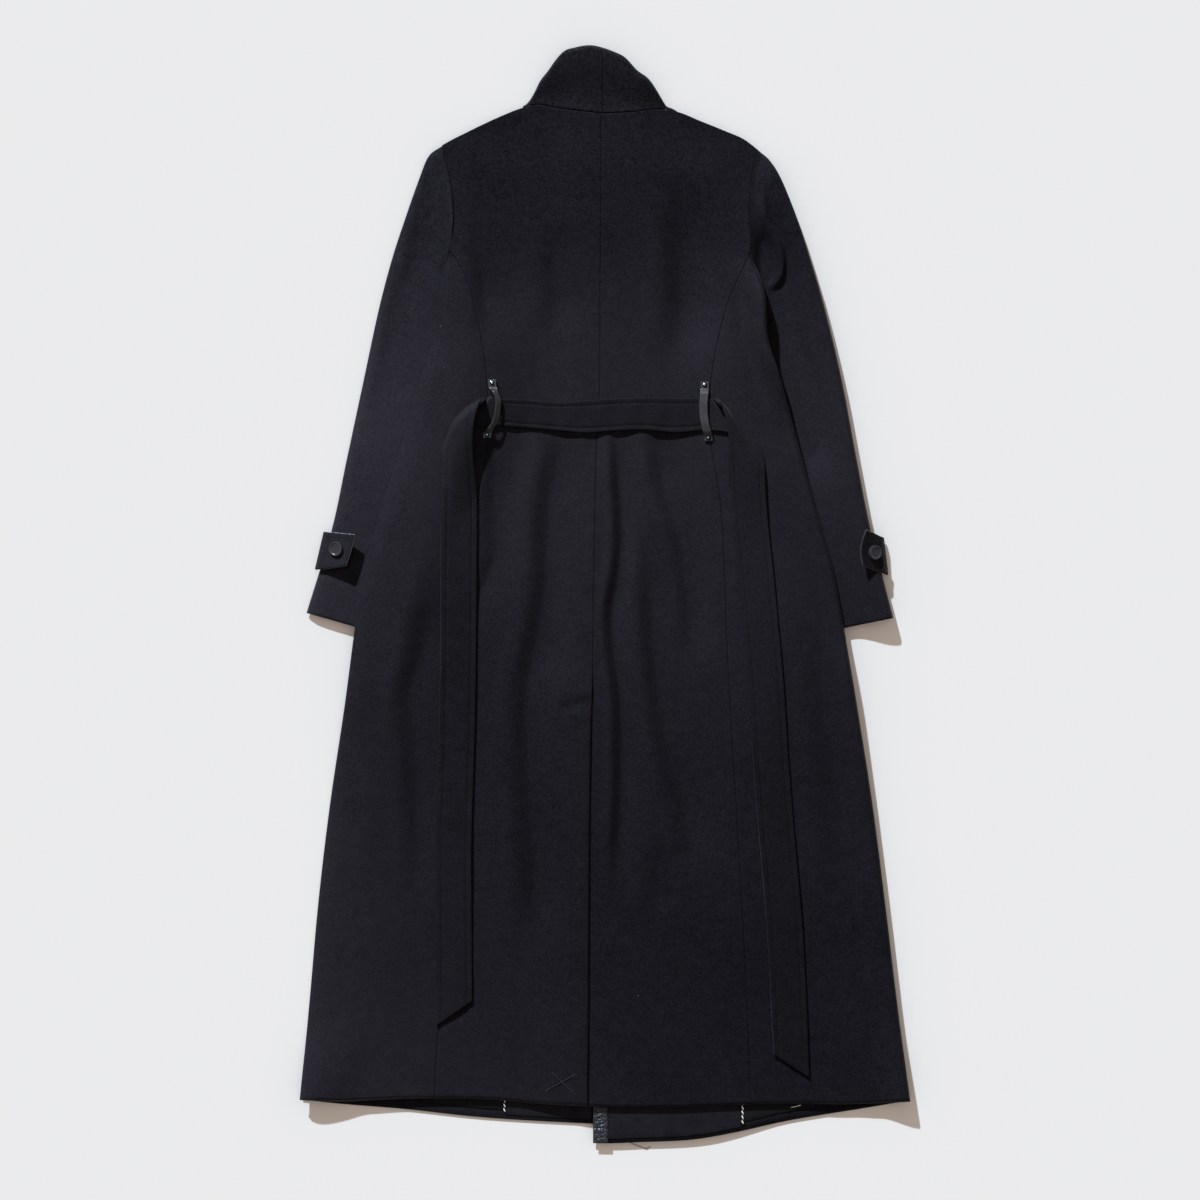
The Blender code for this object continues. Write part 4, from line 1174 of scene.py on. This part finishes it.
# Level | across | rise above the back, along each loop
LOOPS = {
    "left": (
        (269.0, -141.0, 0.0), (259.0, -140.0, 0.1), (251.0, -136.5, 4.4),
        (246.0, -134.5, 5.4), (230.0, -134.5, 6.2), (214.0, -139.0, 5.6),
        (208.0, -143.0, 4.4), (203.0, -146.0, 0.4), (196.0, -147.5, 0.0),
    ),
    "right": (
        (266.0, 124.5, 0.0), (257.0, 124.5, 0.1), (251.0, 123.8, 4.4),
        (246.0, 123.2, 5.4), (226.0, 122.8, 6.2), (208.0, 126.0, 5.6),
        (203.0, 127.5, 4.4), (199.0, 128.8, 0.4), (192.0, 129.5, 0.0),
    ),
}


def loop(table, turned):
    """Place on a leather loop, along from its lower to its upper end."""
    across = smooth(table, 1)
    rise = smooth(table, 2)

    def place(u, v):
        y = mix(table[-1][0], table[0][0], v)
        lean = 2 * u - 1
        high = np.clip(rise(y), 0.0, None)
        stand = turned * ramp(high, *TURNED_FROM)
        x = across(y) + lean * LOOP_HALF * (1 - TURNED_SLIM * stand)
        low = back_top(across(y), y, creased=False) + LAID_GAP
        return x, y, low + high + (1 - lean) * TURNED_RISE * stand

    return place


for side, table in LOOPS.items():
    points = even_points(*LOOP_SIZE, loop(table, LOOP_TURNED[side]))
    strip = bent_grid("belt_loop_" + side + "_leather", points)
    thicken(strip, LOOP_WALL, 1.0, LOOP_ROUND)
    dress(strip, "belt_loop_" + side, leather, "leather")
    print(strip.name, len(strip.data.polygons), "faces")

# %% Rivets
RIVET_RADIUS = 2.6
RIVET_SIDES = 24
RIVET_HEIGHT = 0.7
RIVET_SEAT = 0.6
RIVET_SMOOTH = math.radians(40)
# Steps of the dome: how far in, how far up
RIVET_DOME = ((0.7, 0.45), (0.9, 0.25))
# Node | side | level
RIVETS = (
    ("rivet_left_top", "left", 264.0),
    ("rivet_left_low", "left", 199.5),
    ("rivet_right_top", "right", 261.5),
    ("rivet_right_low", "right", 195.5),
)


def pick_top(piece):
    """Select the highest face of a piece and go on in edit mode."""
    bpy.context.view_layer.objects.active = piece
    bpy.ops.object.mode_set(mode="EDIT")
    bpy.ops.mesh.select_mode(type="FACE")
    bpy.ops.mesh.select_all(action="DESELECT")
    bpy.ops.object.mode_set(mode="OBJECT")
    highest = max(piece.data.polygons, key=lambda face: face.center.z)
    highest.select = True
    bpy.ops.object.mode_set(mode="EDIT")


bpy.ops.object.select_all(action="DESELECT")
bpy.ops.mesh.primitive_cylinder_add(vertices=RIVET_SIDES, radius=RIVET_RADIUS * MM, depth=RIVET_HEIGHT * MM)
rivet_head = bpy.context.object
pick_top(rivet_head)
for inward, upward in RIVET_DOME:
    bpy.ops.mesh.inset(thickness=inward * MM, depth=upward * MM)
bpy.ops.object.mode_set(mode="OBJECT")
bpy.ops.object.shade_smooth_by_angle(angle=RIVET_SMOOTH)


def copy_to(pattern, name, matrix):
    """Copy of a piece with its own mesh, moved there in its mesh."""
    piece = bpy.data.objects.new(name, pattern.data.copy())
    piece.data.transform(matrix)
    bpy.context.collection.objects.link(piece)
    return piece


for name, side, height in RIVETS:
    table = LOOPS[side]
    x = float(smooth(table, 1)(height))
    z = float(back_top(np.array(x), np.array(height), creased=False)) + LAID_GAP + LOOP_WALL
    z += max(0.0, float(smooth(table, 2)(height))) + RIVET_SEAT / 2 + RIVET_HEIGHT / 2
    head = copy_to(rivet_head, name + "_head", Matrix.Translation(Vector((x, height, z)) * MM))
    dress(head, name, nickel, "rivet")
bpy.data.objects.remove(rivet_head)
print("rivets:", len(RIVETS))

# %% [markdown]
# ## Cuff tabs and buttons
# Each cuff has a wool tab, sewn at the sleeve's outer edge and standing off the sleeve at its free end,
# with a dark button on it. The tab is a bent grid with soft edges and a line of topstitching. The button is
# turned from a cylinder: inset for the rim, pressed in for the dish, and tilted onto the tab.

# %% Cuff tabs
TAB_WALL = 3.2
TAB_BASE = 3.4
TAB_ROUND = 0.7
TAB_SOFT = 0.9
TAB_SIZE = (40, 40)
# The right tab takes the belt's wool, painted darker, for the shade on a tab that faces away from the light
TAB_WOOLS = {"left": wool, "right": belt_wool_painted_dark}
# Corners: sewn end upper, sewn end lower, free end upper, free end lower; then the share of the turn at the
# sewn end, the seat above the table, the rise of the free end and its bow
TABS = {
    "left": (((-350.0, 78.8), (-361.0, 31.3), (-312.0, 75.0), (-323.0, 36.5)), 0.09, 7.4, 14.5, 1.0),
    "right": (((346.5, 71.3), (352.0, 25.0), (325.5, 81.0), (321.0, 37.5)), 0.16, 14.0, 12.0, -4.5),
}


def tab(corners, turn, seat, rise, bow):
    """Place on a cuff tab, across from its sewn end to its free end."""
    (x1, y1), (x2, y2), (x3, y3), (x4, y4) = corners

    def place(u, v):
        x = mix(mix(x2, x4, u), mix(x1, x3, u), v) + bow * u * np.sin(math.pi * v)
        y = mix(mix(y2, y4, u), mix(y1, y3, u), v)
        over = np.clip(u / turn, 0, 1)
        free = np.clip((u - turn) / (1 - turn), 0, 1)
        return x, y, mix(TAB_BASE, seat, over**TAB_ROUND) + rise * free

    return place


for side, row in TABS.items():
    points = even_points(*TAB_SIZE, tab(*row))
    below = ["sleeve_upper_" + side + "_cloth"]
    cloth("cuff_tab_" + side, points, below, TAB_WOOLS[side], wall=TAB_WALL, offset=1.0, rounding=TAB_SOFT)

# %% Buttons
BUTTON_RADIUS = 9.0
BUTTON_SIDES = 48
BUTTON_HEIGHT = 3.4
BUTTON_RIM = 1.6
BUTTON_DISH = 0.9
BUTTON_SHANK = 0.8
BUTTON_SOFT = 0.35
BUTTON_SMOOTH = math.radians(35)
BUTTON_PLACES = {"left": (-335.0, 57.5), "right": (335.5, 53.0)}

bpy.ops.object.select_all(action="DESELECT")
disc = {"radius": BUTTON_RADIUS * MM, "depth": BUTTON_HEIGHT * MM}
bpy.ops.mesh.primitive_cylinder_add(vertices=BUTTON_SIDES, **disc)
button = bpy.context.object
pick_top(button)
bpy.ops.mesh.inset(thickness=BUTTON_RIM * MM, depth=0.0)
bpy.ops.mesh.inset(thickness=BUTTON_DISH * MM, depth=-BUTTON_DISH * MM)
bpy.ops.object.mode_set(mode="OBJECT")
soft = button.modifiers.new("turned edge", "BEVEL")
soft.width = BUTTON_SOFT * MM
soft.segments = 2
apply_all(button)
bpy.ops.object.shade_smooth_by_angle(angle=BUTTON_SMOOTH)

for side, (corners, turn, seat, rise, bow) in TABS.items():
    run = (corners[2][0] + corners[3][0] - corners[0][0] - corners[1][0]) / 2
    slope = rise / ((1 - turn) * run)
    tilt = math.atan(slope)
    bend = (corners[0][0] + corners[1][0]) / 2 + turn * run
    x, y = BUTTON_PLACES[side]
    z = seat + slope * (x - bend) + TAB_WALL
    lift = BUTTON_HEIGHT / 2 + BUTTON_SHANK
    spot = Vector((x - math.sin(tilt) * lift, y, z + math.cos(tilt) * lift)) * MM
    seated = Matrix.Translation(spot) @ Matrix.Rotation(-tilt, 4, "Y")
    dress(copy_to(button, "button_" + side + "_horn", seated), "button_" + side, horn, "button")
bpy.data.objects.remove(button)
print("buttons:", len(BUTTON_PLACES))

# %% [markdown]
# ## Twisted piping
# The piping at the edge of the lining is a cord of two strands, a pale one and a dark one, twisted
# together. Each strand is a helix, drawn as a curve with a round bevel and then made a mesh.

# %% Piping
PIPING_RADIUS = 1.2
PIPING_STOP = 10.0
PIPING_PITCH = 6.0
PIPING_STEPS = 14
PIPING_LIFT = 0.6
# Radius of a strand and its distance from the cord's middle, as shares of the cord's radius
STRAND_SHARE = 0.62
STRAND_AWAY = 0.5
STRAND_ROUND = 2
PIPINGS = {"left": (-125.8, left_hem, 0), "right": (172.3, right_hem, 1)}


def drawn(name, route, radius, roundness):
    """Round line through a route of points in millimetres, as a mesh."""
    line = bpy.data.curves.new(name, "CURVE")
    line.dimensions = "3D"
    line.bevel_depth = radius * MM
    line.bevel_resolution = roundness
    line.use_fill_caps = True
    path = line.splines.new("POLY")
    path.points.add(len(route) - 1)
    for point, spot in zip(path.points, route):
        point.co = (*(Vector([float(c) for c in spot]) * MM), 1.0)
    piece = bpy.data.objects.new(name, line)
    bpy.context.collection.objects.link(piece)
    bpy.ops.object.select_all(action="DESELECT")
    piece.select_set(True)
    bpy.context.view_layer.objects.active = piece
    bpy.ops.object.convert(target="MESH")
    bpy.ops.object.shade_smooth()
    return bpy.context.object


def strand(name, x, low, high, z, start):
    """One strand of the cord, wound round its middle line."""
    count = int((high - low) / PIPING_PITCH * PIPING_STEPS)
    turn = start + 2 * math.pi * np.arange(count) / PIPING_STEPS
    away = PIPING_RADIUS * STRAND_AWAY
    y = np.linspace(low, high, count)
    route = np.stack([x + away * np.cos(turn), y, z + away * np.sin(turn)], axis=-1)
    return drawn(name, route, PIPING_RADIUS * STRAND_SHARE, STRAND_ROUND)


for side, (x, hem, lapped) in PIPINGS.items():
    low = float(hem(x)) + PIPING_STOP
    lift = float(wrap_lift(np.array(x), np.array(low)) + front_lift(np.array(x), np.array(low)))
    z = WALL + GAP + PIPING_RADIUS + lapped * lift + PIPING_LIFT
    pale = strand("piping_" + side + "_pale", x, low, FACING_TOP, z, 0.0)
    dark = strand("piping_" + side + "_dark", x, low, FACING_TOP, z, math.pi)
    dress(pale, "piping_" + side, pale_cord, "piping")
    dress(dark, None, dark_cord, "piping")
print("piping strands:", 2 * len(PIPINGS))

# %% [markdown]
# ## Sewing
# Topstitching is a row of short raised stitches in black thread. One stitch is a cube that is stretched and
# bevelled, copied along a line, and each row is joined into one piece. Loose threads are thin curves made
# into meshes, as the strands of the piping are: the cross that tacks the vent down until the coat is worn,
# and the stray ends at the hem. The thin leather edge that shines round the cuff tabs is drawn in the same
# way.

# %% One stitch and a row of stitches
STITCH_LENGTH = 2.7
STITCH_STEP = 3.7
STITCH_WIDTH = 0.55
STITCH_ROUND = 0.17
# Way before and behind a stitch over which its direction is read
STITCH_AIM = 1.0

bpy.ops.object.select_all(action="DESELECT")
bpy.ops.mesh.primitive_cube_add(size=1)
stitch = bpy.context.object
stitch.scale = (STITCH_LENGTH * MM, STITCH_WIDTH * MM, STITCH_WIDTH * MM)
bpy.ops.object.transform_apply(location=False, rotation=False, scale=True)
bpy.ops.object.mode_set(mode="EDIT")
bpy.ops.mesh.select_all(action="SELECT")
bpy.ops.mesh.bevel(offset=STITCH_ROUND * MM, segments=1)
bpy.ops.object.mode_set(mode="OBJECT")


def sew(name, x, y, z):
    """Row of stitches along a route of places in millimetres, as one piece."""
    route = np.stack([x, y, z], axis=-1)
    steps = np.linalg.norm(np.diff(route, axis=0), axis=1)
    walked = np.concatenate([[0.0], np.cumsum(steps)])
    row = []
    for at in np.arange(STITCH_STEP / 2, walked[-1], STITCH_STEP):
        first, last = [
            Vector([np.interp(at + aim, walked, route[:, k]) for k in range(3)]) * MM
            for aim in (-STITCH_AIM, STITCH_AIM)
        ]
        turn = (last - first).to_track_quat("X", "Z").to_matrix().to_4x4()
        row.append(copy_to(stitch, name, Matrix.Translation((first + last) / 2) @ turn))
    bpy.ops.object.select_all(action="DESELECT")
    for piece in row:
        piece.select_set(True)
    bpy.context.view_layer.objects.active = row[0]
    bpy.ops.object.join()
    row[0].name = name
    print(name, len(row), "stitches")
    dress(row[0], None, black_thread, "wool")


# %% Topstitching of the belt, the tabs and the vent
BELT_TOP = BELT_WALL / 2 + 0.12
TAB_TOP = TAB_WALL + 0.1
# Shares of the waist's and of a tail's length that are stitched
WAIST_STITCHED = (0.01, 0.99)
TAIL_STITCHED = (FOLD_ROWS[1], 0.985)
WAIST_STEPS = 200
TAIL_STEPS = 400
VENT_STEPS = 30
# Where a tab's stitching starts, and how far it keeps from the edges, as shares of the tab
TAB_STITCH_START = 0.1
TAB_STITCH = 0.12
TAB_STEPS = 20


def round_tab(start, inset):
    """Route round the three free sides of a tab, as shares of its length and width."""
    out = np.linspace(start, 1 - inset, TAB_STEPS)
    u = np.concatenate([out, np.full(TAB_STEPS, 1 - inset), out[::-1]])
    low = np.full(TAB_STEPS, inset)
    v = np.concatenate([low, np.linspace(inset, 1 - inset, TAB_STEPS), 1 - low])
    return u, v


for where, edge in ((-BELT_STITCH, "lower"), (BELT_STITCH, "upper")):
    x, y, z = waist(np.linspace(*WAIST_STITCHED, WAIST_STEPS), np.full(WAIST_STEPS, (where + 1) / 2))
    sew("belt_waist_stitches_" + edge, x, y, z + BELT_TOP)
for side, place in tails.items():
    for where, edge in ((-BELT_STITCH, "outer"), (BELT_STITCH, "inner")):
        x, y, z = place(np.full(TAIL_STEPS, (where + 1) / 2), np.linspace(*TAIL_STITCHED, TAIL_STEPS))
        sew("belt_tail_stitches_" + side + "_" + edge, x, y, z + BELT_TOP)
for side, row in TABS.items():
    x, y, z = tab(*row)(*round_tab(TAB_STITCH_START, TAB_STITCH))
    sew("cuff_tab_stitches_" + side, x, y, z + TAB_TOP)
x, y = [np.linspace(VENT_STITCH[0][k], VENT_STITCH[1][k], VENT_STEPS) for k in range(2)]
sew("vent_stitches", x, y, back_top(x, y) + vent_lift(x, y) - stitched_down(x, y))
bpy.data.objects.remove(stitch)

# %% Loose threads and the edges of the tabs
THREAD_RADIUS = 0.38
THREAD_ROUND = 1
THREAD_LIFT = 0.4
TACK_STEPS = 14
TACK_BOW = 0.7
TAB_EDGE = 0.9
TAB_EDGE_START = 0.2
# Ends of the two arms of the tacking cross: across and level
TACK = {
    "falling": ((-66.3, -596.3), (-36.3, -623.8)),
    "rising": ((-73.8, -619.4), (-37.5, -598.8)),
}
# Across and level of the pale thread at the lining's hem; then across, level and height of the stray one
HEM_THREAD = ((233.0, -641.4), (239.0, -640.4), (245.0, -638.6))
STRAY_THREAD = (
    (30.0, -684.0, 4.0),
    (34.5, -687.6, 2.0),
    (43.0, -691.0, 0.6),
    (52.0, -694.0, 0.5),
    (57.0, -691.0, 0.6),
)


def thread(name, x, y, z, look, radius=THREAD_RADIUS, slot="wool"):
    """Thin round line through places in millimetres, with its finish."""
    dress(drawn(name, np.stack([x, y, z], axis=-1), radius, THREAD_ROUND), None, look, slot)


for arm, (start, end) in TACK.items():
    f = np.linspace(0, 1, TACK_STEPS)
    x = mix(start[0], end[0], f)
    y = mix(start[1], end[1], f)
    z = back_top(x, y) + vent_lift(x, y) + TACK_BOW * np.sin(math.pi * f) ** 0.5
    thread("vent_tack_" + arm, x, y, z, grey_thread)

for side, row in TABS.items():
    x, y, z = tab(*row)(*round_tab(TAB_EDGE_START, 0.0))
    thread("cuff_tab_edge_" + side, x, y, z + TAB_WALL / 2, leather, TAB_EDGE, "leather")

x, y = np.array(HEM_THREAD).T
z = WALL + GAP + FACING_WALL + THREAD_LIFT + wrap_lift(x, y) + front_lift(x, y)
thread("lining_hem_thread", x, y, z, pale_cord)
thread("stray_thread", *np.array(STRAY_THREAD).T, grey_thread)
print("loose threads:", len(TACK) + 2)

# %% [markdown]
# ## Floor, light and camera
# The coat was photographed from straight above on a pale table. A low sun from the upper left gives the
# crisp shadow to the right and below, and a warm even sky fills it. A cool softbox lights the coat alone,
# so that black wool and leather show their form and the table keeps its tone. The camera looks straight
# down from high up, with a long lens, so that the outline is hardly drawn in perspective.

# %% Floor
FLOOR_SIZE = 12.0
FLOOR_LEVEL = -0.0004
bpy.ops.object.select_all(action="DESELECT")
bpy.ops.mesh.primitive_plane_add(size=FLOOR_SIZE, location=(0, 0, FLOOR_LEVEL))
floor = bpy.context.object
floor.name = "table_top"
# Pale table without any shine
floor.data.materials.append(surface("pale table, matt", "e7e7e7", 0.9, Specular_IOR_Level=0.0))
floor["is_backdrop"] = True
print("table top:", FLOOR_SIZE, "m wide")

# %% Light
SUN_FROM = Vector((-0.352, 0.819, 0.454))
SUN_AWAY = 3
SUN_ENERGY = 4.82
SUN_COLOUR = (0.78, 0.90, 1.0)
SUN_ANGLE = math.radians(1.6)
FILL_COLOUR = (0.49, 0.41, 0.355, 1.0)
SOFTBOX_SIZE = 1.3
SOFTBOX_PLACE = Vector((-0.35, 0.75, 2.2))
SOFTBOX_AIM = Vector((0, 0.1, 0))
SOFTBOX_ENERGY = 4.4
SOFTBOX_COLOUR = (0.62, 0.80, 1.0)


def lamp(name, kind, place, way, energy, tint):
    """Lamp at a place, shining against the way that is given."""
    bpy.ops.object.light_add(type=kind, location=place)
    light = bpy.context.object
    light.name = name
    light.data.energy = energy
    light.data.color = tint
    light.rotation_mode = "QUATERNION"
    light.rotation_quaternion = way.to_track_quat("Z", "Y")
    light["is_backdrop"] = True
    return light


sun = lamp("studio_key", "SUN", SUN_FROM * SUN_AWAY, SUN_FROM, SUN_ENERGY, SUN_COLOUR)
sun.data.angle = SUN_ANGLE

world = bpy.data.worlds.new("warm_fill")
bpy.context.scene.world = world
world.use_nodes = True
world.node_tree.nodes["Background"].inputs["Color"].default_value = FILL_COLOUR
world.node_tree.nodes["Background"].inputs["Strength"].default_value = 1.0
world.cycles_visibility.glossy = False

toward = SOFTBOX_PLACE - SOFTBOX_AIM
softbox = lamp("studio_softbox", "AREA", SOFTBOX_PLACE, toward, SOFTBOX_ENERGY, SOFTBOX_COLOUR)
softbox.data.shape = "SQUARE"
softbox.data.size = SOFTBOX_SIZE
lit_by_softbox = bpy.data.collections.new("lit_by_softbox")
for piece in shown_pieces():
    lit_by_softbox.objects.link(piece)
softbox.light_linking.receiver_collection = lit_by_softbox

# %% Camera
PICTURE_WIDTH = 1.5
LENS = 100.0
SENSOR = 36.0
COAT_HEIGHT = 0.012
AIM = (-0.00625, -0.00625)
FARTHEST = 50.0
camera_height = PICTURE_WIDTH * LENS / SENSOR + COAT_HEIGHT
bpy.ops.object.camera_add(location=(*AIM, camera_height), rotation=(0, 0, 0))
camera = bpy.context.object
camera.name = "camera_above"
camera.data.lens = LENS
camera.data.sensor_width = SENSOR
camera.data.clip_end = FARTHEST
bpy.context.scene.camera = camera
bpy.context.scene.view_settings.view_transform = "Standard"
bpy.context.scene.view_settings.look = "None"
print("camera at", tuple(round(c, 3) for c in camera.location))
